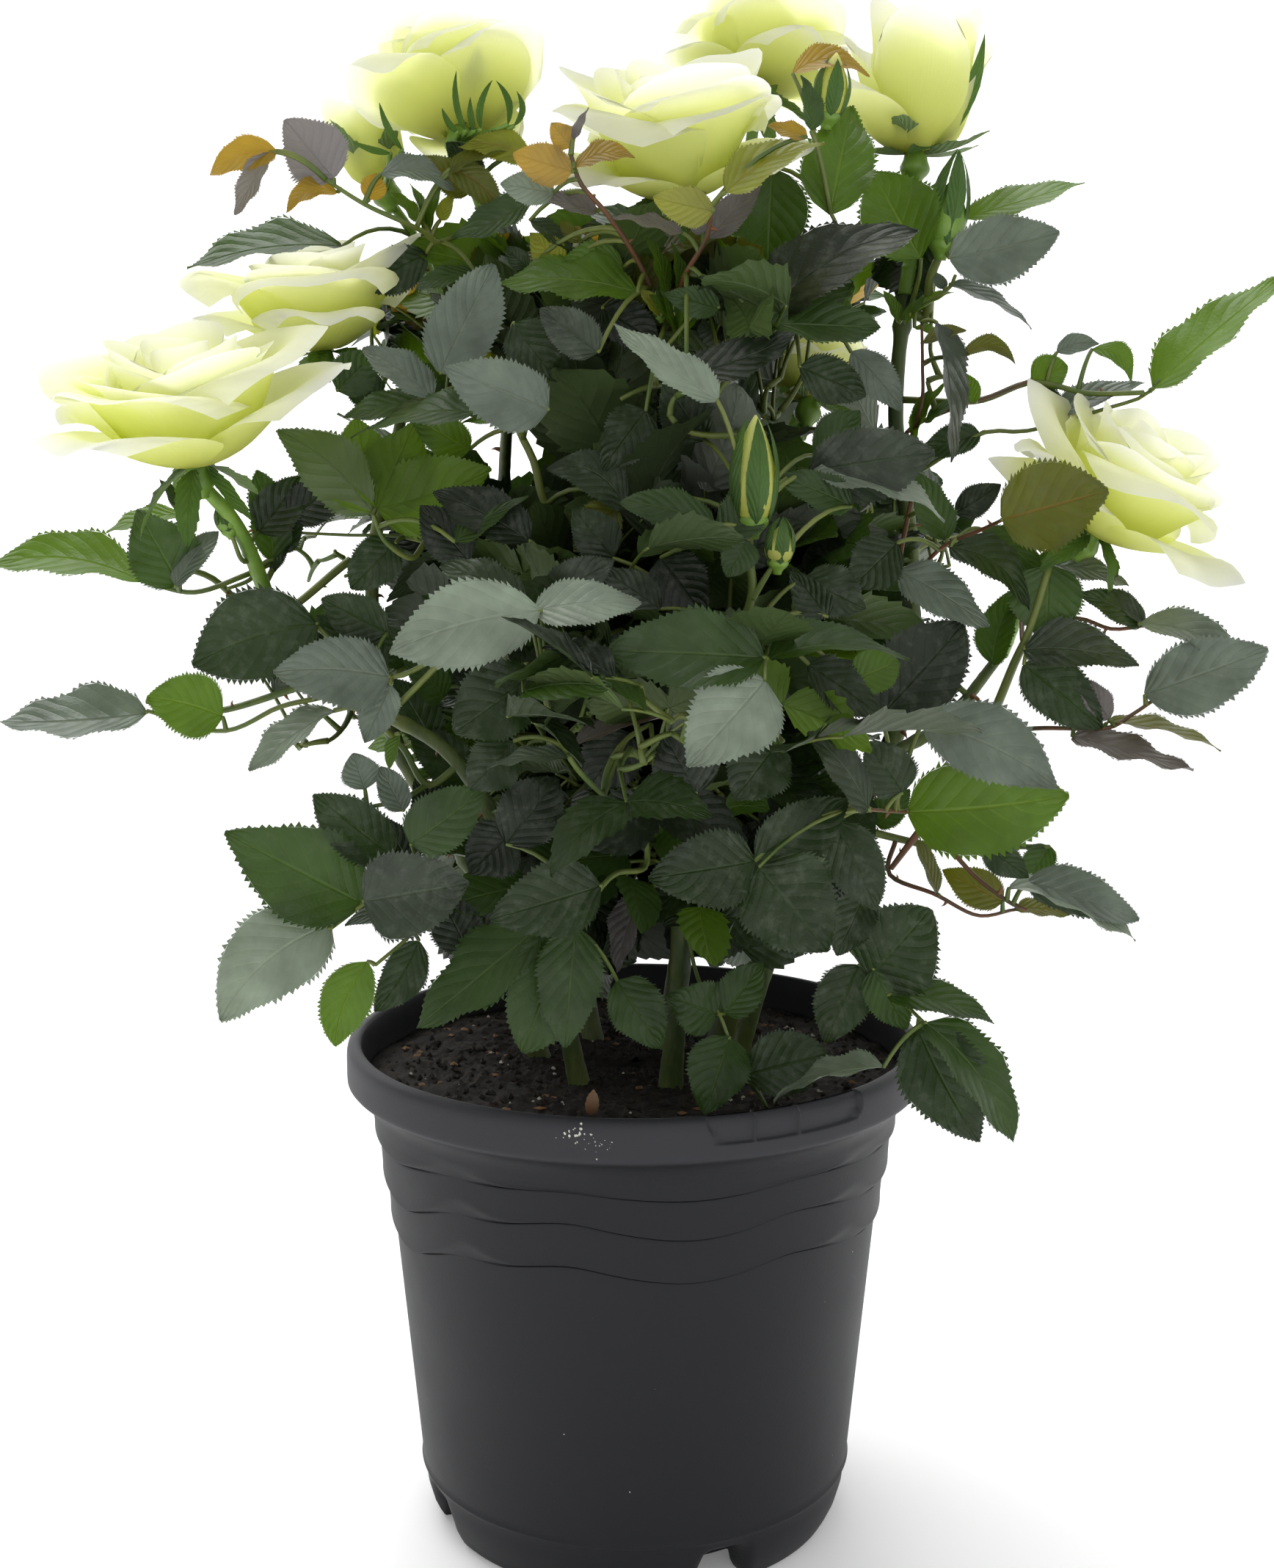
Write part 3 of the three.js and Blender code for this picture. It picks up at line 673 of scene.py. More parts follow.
# ---- twigs that show: lines of (across, down, depth) in the view, base end first, then the radius ----
SHOWN_TWIGS = [
    ([(372, 768, -38), (333, 784, -50), (264, 807, -56), (195, 792, -58)], 1.2),
    ([(482, 940, -44), (429, 952, -56), (379, 964, -54), (302, 996, -52), (200, 968, -50)], 1.1),
    ([(582, 1069, -46), (550, 1020, -54), (517, 987, -62), (482, 964, -60), (455, 968, -60)], 1.4),
    ([(582, 1069, -46), (545, 1090, -56), (500, 1100, -60)], 1.1),
    ([(620, 880, -70), (570, 910, -64), (530, 922, -64), (480, 900, -62), (432, 853, -62)], 1.2),
    ([(1256, 640, -26), (1336, 591, -30), (1393, 588, -34), (1442, 577, -36), (1499, 559, -42),
      (1556, 541, -46), (1580, 518, -50)], 1.0),
    ([(1235, 590, -16), (1300, 556, -26), (1350, 540, -30), (1407, 517, -32)], 0.9),
    ([(1240, 600, -14), (1256, 548, -36), (1257, 500, -40), (1256, 440, -40)], 0.8),
    ([(1399, 882, -58), (1461, 843, -56), (1515, 857, -58), (1562, 852, -60)], 1.0),
    ([(1340, 1000, -50), (1415, 992, -60), (1506, 992, -67), (1540, 975, -66), (1573, 953, -66)], 1.0),
    ([(1300, 1080, -36), (1349, 982, -48), (1382, 903, -54), (1402, 860, -58), (1430, 772, -60)], 2.1),
    ([(1212, 1191, -36), (1274, 1218, -40), (1332, 1247, -40), (1382, 1239, -38), (1407, 1239, -38)], 0.95),
    ([(1262, 1125, -46), (1287, 1148, -52), (1328, 1193, -56), (1374, 1228, -62), (1399, 1240, -64)], 1.1),
    ([(1254, 1131, -48), (1214, 1183, -42)], 1.6),
    ([(1225, 790, -40), (1286, 744, -56), (1336, 722, -70), (1366, 708, -92)], 0.95),
    ([(1300, 1105, -66), (1240, 1106, -74), (1183, 1103, -104)], 0.9),
    ([(905, 450, -50), (926, 395, -64), (936, 370, -74), (963, 324, -84), (969, 282, -90)], 1.2),
    ([(905, 430, -56), (872, 360, -64), (829, 294, -74), (792, 251, -80), (778, 211, -84)], 1.1),
    ([(600, 330, -30), (584, 319, -36), (551, 303, -46), (498, 279, -50), (444, 245, -52)], 1.1),
    ([(1030, 850, -96), (1045, 880, -126), (1042, 900, -140), (1042, 927, -142)], 1.0),
    ([(870, 1125, -70), (857, 1113, -84), (789, 1050, -104), (749, 982, -118)], 1.3),
    ([(880, 1180, -70), (840, 1190, -96), (814, 1216, -104), (781, 1266, -84)], 1.1),
    ([(1130, 1260, -52), (1175, 1311, -60), (1205, 1340, -66), (1260, 1394, -84)], 1.0),
    ([(950, 1330, -48), (978, 1377, -62), (993, 1415, -66)], 0.9),
    ([(1045, 1508, -64), (1030, 1485, -66), (1013, 1465, -68), (1000, 1420, -64)], 0.8),
    ([(600, 1230, -48), (557, 1276, -56), (511, 1315, -62)], 1.0),
    ([(600, 1200, -60), (536, 1210, -62), (495, 1232, -63), (449, 1266, -66)], 1.1),
    ([(1235, 430, -8), (1290, 395, -20), (1302, 375, -24)], 1.0),
    ([(1240, 420, -6), (1252, 380, -18), (1255, 352, -25)], 1.0),
    ([(1080, 430, -40), (1140, 330, -52), (1132, 290, -55)], 1.1),
    ([(960, 900, -90), (1009, 850, -108), (1025, 805, -112), (1020, 752, -114), (1025, 712, -112)], 2.0),
    ([(1025, 816, -112), (1047, 780, -114), (1060, 764, -114)], 1.2),
    ([(800, 760, -40), (745, 690, -48), (728, 630, -50), (709, 590, -50), (690, 540, -48)], 1.9),
    ([(640, 745, -56), (540, 730, -50), (478, 729, -46), (392, 725, -42)], 0.8),
    ([(560, 760, -60), (525, 737, -66), (508, 700, -71)], 1.2),
    ([(356, 771, -46), (340, 790, -48), (310, 802, -50)], 1.0),
    ([(350, 760, -50), (331, 764, -60), (318, 735, -66), (312, 722, -66)], 1.1),
    ([(1262, 430, -6), (1268, 380, -14), (1284, 340, -20)], 2.2),
]
BROWN_TWIGS = {6, 7, 8, 9, 11, 12, 13, 14, 15, 16, 17}  # places in the list of the woody ones
for index, (line, radius) in enumerate(SHOWN_TWIGS):
    across, down, depth = np.array(line, float).T
    brown = index in BROWN_TWIGS
    path = spot(across, down, depth)
    known = np.concatenate(skeleton)
    behind = path[0] - 0.1 * (path[1] - path[0])
    near = known[np.linalg.norm(known - behind, axis=1).argmin()]
    if np.linalg.norm(near - path[0]) > 1:
        path = np.concatenate([near[None], path])
    grow_twig(path, radius, thorny=brown, pile=brown_twigs if brown else stalks)


def link_to_limb(points):
    """A stalk from the nearest limb or twig to each point, bent upwards on its way."""
    known = np.concatenate(skeleton)
    gap = np.linalg.norm(points[:, None] - known[None], axis=2)
    near = known[gap.argmin(1)]
    run = points - near
    share = np.linspace(0, 1, 7)[:, None]
    sag = np.linalg.norm(run, axis=1)[:, None, None] * 0.12 * (4 * share * (1 - share))
    paths = near[:, None] + run[:, None] * share + sag * np.array([0, 0, 1.0])
    radii = np.broadcast_to(0.8 * (1.25 - 0.35 * share[:, 0]), (len(points), 7))
    add_bars(stalks, paths, radii, sides=5)


# ---- leaflets that show ----
SHOWN_LEAVES = {
    # tint: across and down of the base, then of the tip, seen width (minus shows the under side),
    # depth of the base and of the tip, sideways bow
    # partly young growth, partly painted backlight: leaflets whose lighter green stands in part for light
    # shining through
    "young_and_backlit": [
        (640, 612, 556, 566, 54, -50, -60, 0.0),
        (575, 322, 558, 250, 16, -28, -36, 0.0),
        (586, 322, 604, 252, 16, -30, -36, 0.0),
        (572, 302, 530, 262, 18, -30, -40, 0.0),
        (191, 792, -8, 768, 58, -58, -62, 0.1), (245, 700, 145, 727, 26, -30, -40, 0.06),
        (545, 1000, 530, 1048, 18, -60, -60, 0), (506, 697, 486, 568, -100, -71, -50, 0),
        (513, 692, 670, 638, -104, -72, -60, -0.05), (513, 692, 566, 572, -96, -72, -54, 0),
        (722, 562, 630, 576, 28, -96, -90, 0), (868, 399, 677, 388, 58, -70, -66, 0.02),
        (925, 470, 900, 394, 15, -62, -68, 0), (925, 470, 942, 398, 14, -62, -70, 0),
        (918, 446, 884, 402, 15, -62, -70, 0), (930, 460, 958, 422, 13, -62, -66, 0),
        (908, 400, 880, 322, 20, -64, -70, 0), (930, 400, 915, 330, 18, -64, -70, 0),
        (1225, 440, 1203, 396, 15, -10, -14, 0), (1232, 440, 1262, 404, 15, -12, -16, 0),
        (1240, 432, 1300, 398, 13, -14, -18, 0.1), (1246, 446, 1284, 462, 11, -14, -18, 0),
        (1245, 600, 1290, 522, 18, -22, -30, 0), (1250, 585, 1268, 530, 14, -22, -26, 0),
        (850, 364, 761, 362, 42, -60, -64, 0.12), (1237, 1106, 1457, 1083, 125, -75, -88, -0.02),
        (500, 1310, 456, 1425, 68, -62, -60, 0.06), (1328, 549, 1312, 507, 28, -30, -30, 0),
        (1405, 518, 1455, 498, 50, -32, -32, 0), (1488, 476, 1542, 520, 28, -32, -36, 0.22),
        (1572, 530, 1745, 378, 60, -50, -56, -0.03), (1255, 352, 1188, 232, 104, -25, -15, 0),
        (1132, 290, 1160, 145, 98, -55, -35, 0), (1315, 298, 1478, 248, 36, -10, -14, -0.06),
        (303, 976, 200, 950, 84, -52, -54, 0.05), (1157, 930, 1225, 900, 60, -100, -92, 0),
    ],
    "mid": [
        (600, 556, 468, 570, 42, -70, -78, 0.05),
        (372, 762, 350, 640, 58, -44, -50, 0.0),
        (1352, 905, 1384, 802, 48, -24, -30, 0.0),
        (1190, 1120, 1240, 1076, 46, -30, -40, 0.0),
        (1431, 1153, 1390, 1214, 42, -30, -38, 0.0),
        (506, 697, 378, 586, -84, -71, -60, 0.06), (1262, 575, 1320, 545, 14, -24, -28, 0),
        (245, 797, 186, 694, 90, -62, -66, 0), (492, 1230, 306, 1134, 128, -62, -72, 0),
        (975, 718, 845, 684, 52, -118, -122, 0.05), (985, 735, 1045, 665, 60, -116, -108, 0),
        (1018, 735, 990, 787, 50, -118, -122, 0), (1040, 896, 825, 887, 100, -140, -146, 0),
        (1047, 898, 1240, 900, 40, -138, -130, 0.12), (460, 532, 512, 480, 62, -52, -48, 0),
        (466, 336, 255, 367, 42, -10, -30, 0.07), (1290, 735, 1244, 640, 48, -55, -50, 0),
        (1340, 722, 1420, 787, 38, -50, -52, 0), (1040, 440, 1200, 446, 56, -75, -70, -0.05),
        (1052, 230, 1046, 380, 104, -30, -20, 0), (648, 372, 566, 394, 24, -40, -44, 0),
        (735, 1262, 567, 1400, 84, -80, -88, -0.03), (775, 1266, 712, 1434, 112, -82, -90, 0),
        (784, 1266, 770, 1427, 84, -85, -91, 0), (978, 1382, 908, 1357, 72, -62, -66, 0),
        (987, 1382, 1040, 1311, 60, -60, -56, 0), (841, 1336, 902, 1430, 72, -70, -74, 0),
        (995, 1413, 960, 1518, 80, -66, -78, 0), (1190, 1320, 1236, 1402, 62, -68, -72, 0),
        (1210, 1357, 1355, 1394, 44, -72, -84, 0.05), (1262, 1394, 1380, 1556, 66, -86, -94, 0.02),
        (1430, 770, 1425, 874, 98, -60, -58, 0), (1105, 178, 1092, 102, 27, -62, -60, 0),
        (1160, 690, 1060, 650, 50, -92, -96, 0), (560, 1150, 663, 1075, 80, -80, -84, 0),
        (1110, 620, 1172, 560, 56, -74, -66, 0), (980, 420, 905, 400, 40, -80, -84, 0),
        (645, 562, 478, 598, 36, -92, -84, 0.1), (723, 273, 617, 325, 40, -48, -54, -0.12),
        (620, 738, 720, 676, 32, -94, -90, 0), (604, 952, 548, 898, 48, -14, -30, 0.04),
        (640, 850, 575, 812, 50, -24, -36, 0),
    ],
    "deep": [
        (520, 545, 455, 500, 50, -44, -52, 0.0),
        (388, 752, 404, 658, 42, -40, -50, 0.0),
        (655, 242, 608, 194, 40, -22, -30, 0.0),
        (598, 1240, 470, 1262, 40, -52, -60, 0.1),
        (1102, 905, 1200, 975, 60, -120, -112, 0), (432, 850, 262, 906, 124, -64, -72, 0.06),
        (524, 914, 431, 838, 62, -56, -58, 0), (536, 1167, 427, 1082, 77, -58, -64, 0),
        (571, 1282, 510, 1378, 57, -56, -60, -0.05), (716, 826, 600, 770, 54, -128, -122, 0),
        (731, 917, 619, 998, 102, -125, -130, 0), (1029, 1173, 883, 1197, 100, -112, -120, 0),
        (1029, 1171, 1157, 1089, 82, -112, -104, 0), (1034, 1181, 1129, 1296, 130, -114, -122, 0),
        (1140, 1120, 1195, 1240, 76, -96, -92, 0), (818, 1207, 667, 1253, 98, -108, -116, 0),
        (1186, 1330, 1268, 1238, 124, -66, -74, 0), (1170, 1315, 1124, 1421, 76, -64, -66, 0),
        (1250, 1400, 1334, 1556, 106, -80, -86, -0.02), (1015, 1465, 1128, 1435, 86, -68, -62, 0),
        (581, 345, 490, 394, 58, -30, -34, 0), (352, 725, 414, 648, 62, -52, -48, 0),
        (539, 740, 478, 802, 64, -56, -58, 0), (528, 862, 438, 815, 62, -58, -60, 0),
        (852, 692, 745, 638, 58, -90, -84, 0.18), (1395, 905, 1502, 992, 78, -66, -74, 0),
        (1340, 1150, 1402, 1196, 44, -70, -72, 0), (1556, 850, 1468, 808, 40, -60, -62, 0),
        (1560, 850, 1515, 802, 22, -60, -58, 0), (1336, 591, 1252, 617, 42, -30, -30, 0),
        (1443, 562, 1400, 528, 42, -34, -32, 0), (392, 712, 372, 781, 32, -40, -40, 0),
        (262, 712, 217, 652, 26, -50, -50, 0), (722, 300, 782, 342, 24, -60, -58, 0),
        (720, 365, 688, 337, 26, -56, -56, 0), (835, 760, 780, 690, 60, -96, -90, 0),
        (1128, 840, 1078, 778, 46, -96, -96, 0), (1180, 1215, 1140, 1302, 60, -70, -72, 0),
        (700, 1010, 640, 1075, 70, -104, -104, 0), (1060, 1010, 1000, 1090, 90, -104, -106, 0),
        (1095, 790, 1180, 830, 70, -96, -92, 0), (1222, 740, 1160, 800, 70, -66, -70, 0),
        (1230, 1080, 1180, 1010, 70, -92, -94, 0), (880, 560, 820, 640, 70, -84, -88, 0),
        (700, 440, 760, 520, 70, -84, -80, 0), (960, 600, 905, 520, 66, -84, -82, 0),
        (740, 1330, 690, 1240, 60, -60, -56, 0), (1090, 500, 1180, 540, 60, -70, -64, 0),
        (1295, 745, 1402, 832, 52, -62, -66, 0.15), (590, 1010, 538, 925, 60, -8, -22, 0),
        (640, 1062, 560, 1000, 64, -6, -14, 0.05), (705, 1000, 640, 926, 66, -14, -26, 0),
        (560, 905, 520, 850, 50, -20, -28, 0),
    ],
    # painted shade: leaflets given the darker copy of the deep green where they lie in shade
    "shade_dark": [
        (690, 1150, 760, 1060, 84, -96, -90, 0), (1200, 975, 1314, 848, 110, -70, -60, 0),
        (640, 765, 573, 688, 64, -90, -84, 0), (722, 738, 590, 670, 64, -92, -86, 0),
        (1045, 428, 1252, 316, 84, -68, -60, 0.05), (935, 512, 1084, 455, 52, -100, -96, -0.12),
        (395, 705, 472, 650, 62, -50, -46, 0), (640, 1300, 600, 1218, 66, -70, -66, 0),
        (950, 1080, 905, 1000, 90, -108, -110, 0), (900, 760, 960, 840, 80, -104, -106, 0),
        (1302, 700, 1364, 660, 40, -40, -40, 0), (700, 1130, 640, 1190, 80, -70, -66, 0),
        (860, 1000, 800, 1075, 80, -84, -80, 0), (1000, 760, 1080, 720, 60, -80, -80, 0),
        (820, 420, 900, 470, 60, -60, -60, 0), (612, 1134, 566, 1058, 62, -4, -12, 0),
        (668, 940, 620, 880, 58, -6, -14, 0), (560, 1180, 520, 1112, 56, -16, -24, 0),
    ],
    # painted sheen: leaflets whose greyed green stands for a dim reflection of the sky
    "dim_sheen": [
        (1395, 885, 1552, 908, 62, -62, -74, 0.02), (495, 1228, 640, 1203, 116, -74, -84, 0),
        (1102, 642, 1274, 616, 98, -84, -92, 0), (1277, 440, 1295, 630, 32, -46, -46, 0),
        (1183, 1103, 1101, 997, 47, -110, -118, 0), (815, 480, 735, 420, 60, -92, -90, 0),
        (740, 820, 838, 762, 60, -118, -112, 0), (900, 830, 820, 775, 56, -112, -114, 0),
    ],
    # painted sheen: leaflets whose grey-green stands for the sky's reflection
    "grey": [
        (1160, 480, 1230, 560, 50, -50, -50, 0), (239, 799, 298, 724, 37, -66, -60, 0),
        (530, 922, 372, 916, 94, -66, -76, 0.05), (532, 933, 497, 1012, 52, -66, -68, 0),
        (199, 972, -2, 983, 62, -50, -56, -0.1), (497, 1075, 481, 1026, 50, -60, -60, 0),
        (550, 1105, 518, 1044, 42, -60, -60, 0), (600, 508, 673, 360, 90, -80, -72, 0),
        (590, 542, 494, 474, 48, -74, -70, 0), (747, 558, 606, 500, 90, -98, -104, 0),
        (1294, 352, 1444, 316, 84, -24, -30, -0.02), (519, 237, 619, 261, 32, -52, -46, 0.15),
        (1295, 387, 1406, 448, 19, -20, -26, 0.04), (1225, 778, 1347, 855, 62, -56, -58, 0),
        (1432, 770, 1538, 799, 32, -40, -44, 0), (1553, 850, 1708, 927, 42, -64, -70, 0.14),
        (1560, 946, 1728, 884, 94, -66, -74, 0), (1258, 984, 1442, 1074, 98, -82, -92, 0.05),
        (1399, 1202, 1552, 1254, 60, -62, -70, -0.04), (1290, 392, 1268, 370, 16, -16, -16, 0),
        (775, 1032, 664, 1048, 22, -112, -110, 0), (1443, 562, 1560, 522, 32, -34, -40, 0),
        (1440, 480, 1498, 468, 26, -32, -32, 0.1),
    ],
    # painted highlight: leaflets whose pale grey-green stands for the sky's reflection
    "pale": [
        (736, 831, 530, 890, 112, -150, -142, 0.05), (726, 833, 874, 822, 60, -148, -140, -0.03),
        (1042, 927, 937, 1045, 118, -142, -150, 0), (448, 1260, 300, 1390, 114, -66, -72, 0.1),
        (977, 545, 836, 442, 47, -118, -112, -0.1), (1108, 645, 1288, 709, 42, -88, -96, 0.1),
        (1375, 1210, 1548, 1281, 34, -66, -72, -0.02), (1357, 722, 1423, 751, 20, -40, -40, 0),
        (1204, 1454, 1054, 1501, 26, -88, -80, 0.03), (455, 968, 340, 1051, 38, -60, -66, 0),
        (755, 262, 682, 250, 44, -76, -80, 0),
    ],
    "olive": [
        (642, 262, 574, 212, 44, -30, -38, 0.0),
        (1366, 708, 1510, 668, 112, -92, -104, 0), (613, 230, 682, 288, 42, -46, -44, 0.1),
        (613, 236, 706, 195, 22, -46, -40, 0.1), (790, 330, 764, 301, 20, -58, -58, 0),
        (1258, 468, 1317, 450, 18, -40, -42, 0.1), (1306, 492, 1384, 497, 24, -34, -40, 0.3),
        (1508, 985, 1664, 1022, 18, -66, -74, 0.08), (1366, 1228, 1284, 1185, 52, -42, -38, 0),
        (1277, 1218, 1245, 1141, 20, -40, -40, 0), (1385, 1238, 1462, 1247, 24, -40, -40, 0),
        (840, 690, 782, 752, 56, -88, -92, 0),
    ],
    "gold": [
        (972, 288, 890, 269, -50, -92, -94, 0), (989, 263, 1124, 194, 47, -94, -90, 0.08),
        (768, 362, 722, 317, 42, -58, -58, 0), (720, 215, 625, 200, 40, -44, -40, 0.1),
        (600, 300, 618, 262, 20, -34, -34, 0), (900, 430, 872, 395, 18, -66, -68, 0),
    ],
    "bronze": [
        (780, 234, 699, 209, -52, -84, -88, 0), (778, 200, 751, 167, -34, -84, -84, 0),
        (783, 229, 865, 214, 27, -84, -86, 0.15), (1100, 186, 1046, 170, 22, -90, -88, 0),
        (1080, 100, 1185, 104, 30, -50, -46, 0.2), (376, 205, 286, 239, 42, -54, -58, 0.1),
        (460, 262, 390, 290, 26, -50, -54, 0.2), (504, 272, 513, 236, 34, -50, -50, 0),
    ],
    "plum": [
        (1511, 980, 1464, 923, 34, -70, -70, 0), (1461, 1003, 1626, 1051, 35, -68, -78, -0.03),
        (783, 1014, 916, 976, 22, -112, -116, 0), (455, 242, 388, 163, -84, -52, -48, 0),
        (367, 207, 320, 293, -28, -54, -56, 0), (813, 288, 726, 269, 27, -72, -76, 0),
        (930, 318, 834, 296, 18, -76, -78, 0), (965, 325, 1037, 249, 42, -78, -74, 0),
        (958, 320, 945, 278, 28, -76, -76, 0), (781, 190, 802, 146, 12, -84, -84, 0),
        (870, 1220, 840, 1325, 40, -50, -50, 0),
    ],
}
leaves = {tint: Pile() for tint in LEAF_TINTS}
shown_boxes = []


def place_shown(tint, rows):
    """Leaflets set where they show, turned about their length until they look as wide as given."""
    bu, bv, tu, tv, seen, near, far, bow = np.array(rows, float).T
    base = spot(bu, bv, near)
    tip = spot(tu, tv, far)
    scale = FOCAL / ((base - EYE) @ FORWARD)
    length = np.linalg.norm(tip - base, axis=1)
    wide = np.abs(seen) / scale
    width = np.maximum(wide, 0.5 * length)
    roll = np.arccos(np.clip(wide / width, 0, 1))
    facing = unit(EYE - 0.5 * (base + tip)) * np.where(seen < 0, -1, 1)[:, None]
    along = unit(tip - base)
    face = square_off(facing, along)
    third = np.cross(along, face)
    upright = np.where(third[:, 2] >= 0, 1.0, -1.0)[:, None]
    lift = face * np.cos(roll)[:, None] + third * (upright * np.sin(roll)[:, None])
    side = np.cross(square_off(lift, along), along)
    bow = bow * np.where(side[:, 2] >= 0, 1, -1)
    count = len(rows)
    arch = np.where(np.abs(bow) > 0.05, 0.5 * np.abs(bow), rng.uniform(0.0, 0.11, count))
    add_blades(leaves[tint], base, tip, lift, width, rng.uniform(0.12, 0.4, count), arch,
               bow, rng.uniform(-0.5, 0.5, count), rng.uniform(0.02, 0.055, count),
               rows=14, columns=6, teeth=2, bite=0.1)
    link_to_limb(base)
    middle = 0.5 * (base + tip)
    shown_boxes.append(np.column_stack([seen_at(middle), middle[:, 1], 0.42 * length * scale,
                                        0.42 * np.maximum(np.abs(seen), 30)]))


for tint, rows in SHOWN_LEAVES.items():
    place_shown(tint, rows)
# a small dry scale that stands on the compost
add_blades(brown_twigs, spot([805], [1519], [-99]), spot([809], [1484], [-101]),
           np.array([[0, -1, 0.2]]), 4.5, 0.3, rows=6, columns=2)
shown_boxes = np.concatenate(shown_boxes)

# ---- filling the crown: twigs grow from the nearest limb to seeded spots, each ending in a leaf ----
MASS_NAMES = [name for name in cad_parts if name.startswith(("leaves_", "spray_"))]
CROWN_OUTLINE = np.array([
    (455, 345), (490, 250), (600, 215), (700, 235), (780, 215), (900, 215), (1010, 225), (1060, 130),
    (1190, 140), (1268, 235), (1268, 350), (1240, 400), (1215, 440), (1215, 600), (1290, 620),
    (1330, 700), (1290, 760), (1310, 850), (1300, 940), (1390, 985), (1425, 1080), (1330, 1125),
    (1225, 1140), (1215, 1240), (1170, 1300), (1060, 1320), (960, 1320), (880, 1300), (830, 1340),
    (740, 1390), (620, 1370), (560, 1290), (480, 1160), (440, 1080), (500, 1010), (440, 950),
    (330, 900), (320, 850), (400, 800), (400, 730), (350, 640), (450, 520), (480, 480),
], float)
SKY_GAPS = np.array([
    # across, down, half width, half height
    (699, 626, 70, 40), (1312, 868, 24, 42), (430, 782, 50, 50),
    (1335, 792, 34, 46), (1335, 900, 30, 48),
    (1030, 560, 18, 18), (1092, 600, 16, 34), (1110, 328, 26, 28), (597, 355, 15, 23),
    (600, 1318, 36, 26), (480, 1262, 46, 14), (1100, 1312, 28, 18), (1245, 1165, 26, 30),
    (890, 1215, 14, 46), (575, 675, 12, 10),
], float)


def inside_outline(spots, outline):
    """Whether each spot lies inside the closed outline, by counting the sides that a ray crosses."""
    x, y = spots[:, 0, None], spots[:, 1, None]
    ax, ay = outline[:, 0], outline[:, 1]
    bx, by = np.roll(ax, -1), np.roll(ay, -1)
    crosses = (ay > y) != (by > y)
    meets = (bx - ax) * (y - ay) / np.where(by == ay, 1e-9, by - ay) + ax
    return (crosses & (x < meets)).sum(1) % 2 == 1


# a box in the crown's back that no mass covers, filled like one
INNER_FILL = [np.array([(-84.0, 0.0, 232.0), (84.0, 88.0, 368.0)])]


def mass_table():
    """Middle and half size of every leaf mass, in millimetres."""
    boxes = [np.array(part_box(name), float) / MM for name in MASS_NAMES] + INNER_FILL
    return np.array([(lo + hi) / 2 for lo, hi in boxes]), np.array([(hi - lo) / 2 for lo, hi in boxes])


MASS_MIDDLE, MASS_HALF = mass_table()
LEAF_EVERY = 7.0e3  # cubic millimetres of crown for each compound leaf
BALL = 4.19  # volume of an ellipsoid over the product of its half sizes
# some tints are painted light: a darker green is painted shade, greyed greens are painted sheen, and a bright
# green is partly painted backlight
TINT_NAMES = ["deep", "mid", "grey", "olive", "young_and_backlit", "bronze", "pale", "plum", "gold", "shade_dark", "dim_sheen"]
TINT_SHARES = [0.35, 0.25, 0.04, 0.02, 0.06, 0.0, 0.01, 0.0, 0.0, 0.17, 0.1]
YOUNG_TINTS = [3, 4, 1, 8, 4, 5]  # places in the names; half the leaves above this height take one
YOUNG_ABOVE = 425


def leaf_spots():
    """Seeded spots for compound leaves in each mass, closer together below, from the middle out."""
    spots = []
    for middle, half in zip(MASS_MIDDLE, MASS_HALF):
        crowd = 3.0 if middle[2] < 310 else 1.9
        count = max(2, int(round(BALL * np.prod(half) * 0.45 * crowd / LEAF_EVERY)))
        way = unit(rng.normal(size=(count, 3)))
        reach = rng.uniform(0.15, 0.8, (count, 1)) ** 0.6
        spots.append(middle + way * reach * half * np.array([0.8, 0.8, 0.85]))
    spots = np.concatenate(spots)
    return spots[np.argsort(np.linalg.norm(spots - np.array([0, 0, 300]), axis=1))]


def grow_crown():
    """Grows a twig to each spot from the nearest limb or older twig; gives its parent, or -1."""
    spots = leaf_spots()
    known = np.concatenate(skeleton)
    owner = np.full(len(known), -1)
    paths, parents = [], []
    for index, target in enumerate(spots):
        gap = np.linalg.norm(known - target, axis=1) + 0.35 * np.maximum(known[:, 2] - target[2], 0)
        nearest = gap.argmin()
        run = target - known[nearest]
        share = np.linspace(0, 1, 8)[:, None]
        bend = 0.14 * np.linalg.norm(run) * np.array([rng.normal(), rng.normal(), 0.8 + rng.normal()])
        path = known[nearest] + run * share + 2 * share * (1 - share) * bend
        paths.append(path)
        parents.append(owner[nearest])
        known = np.concatenate([known, path[3:]])
        owner = np.concatenate([owner, np.full(5, index)])
    return spots, np.array(paths), np.array(parents)


fill_spots, fill_twigs, fill_parents = grow_crown()
# share of the stalk's length, side, size
LEAFLETS = ((1.0, 0, 1.0), (0.72, 1, 0.92), (0.72, -1, 0.92), (0.4, 1, 0.76), (0.4, -1, 0.76))


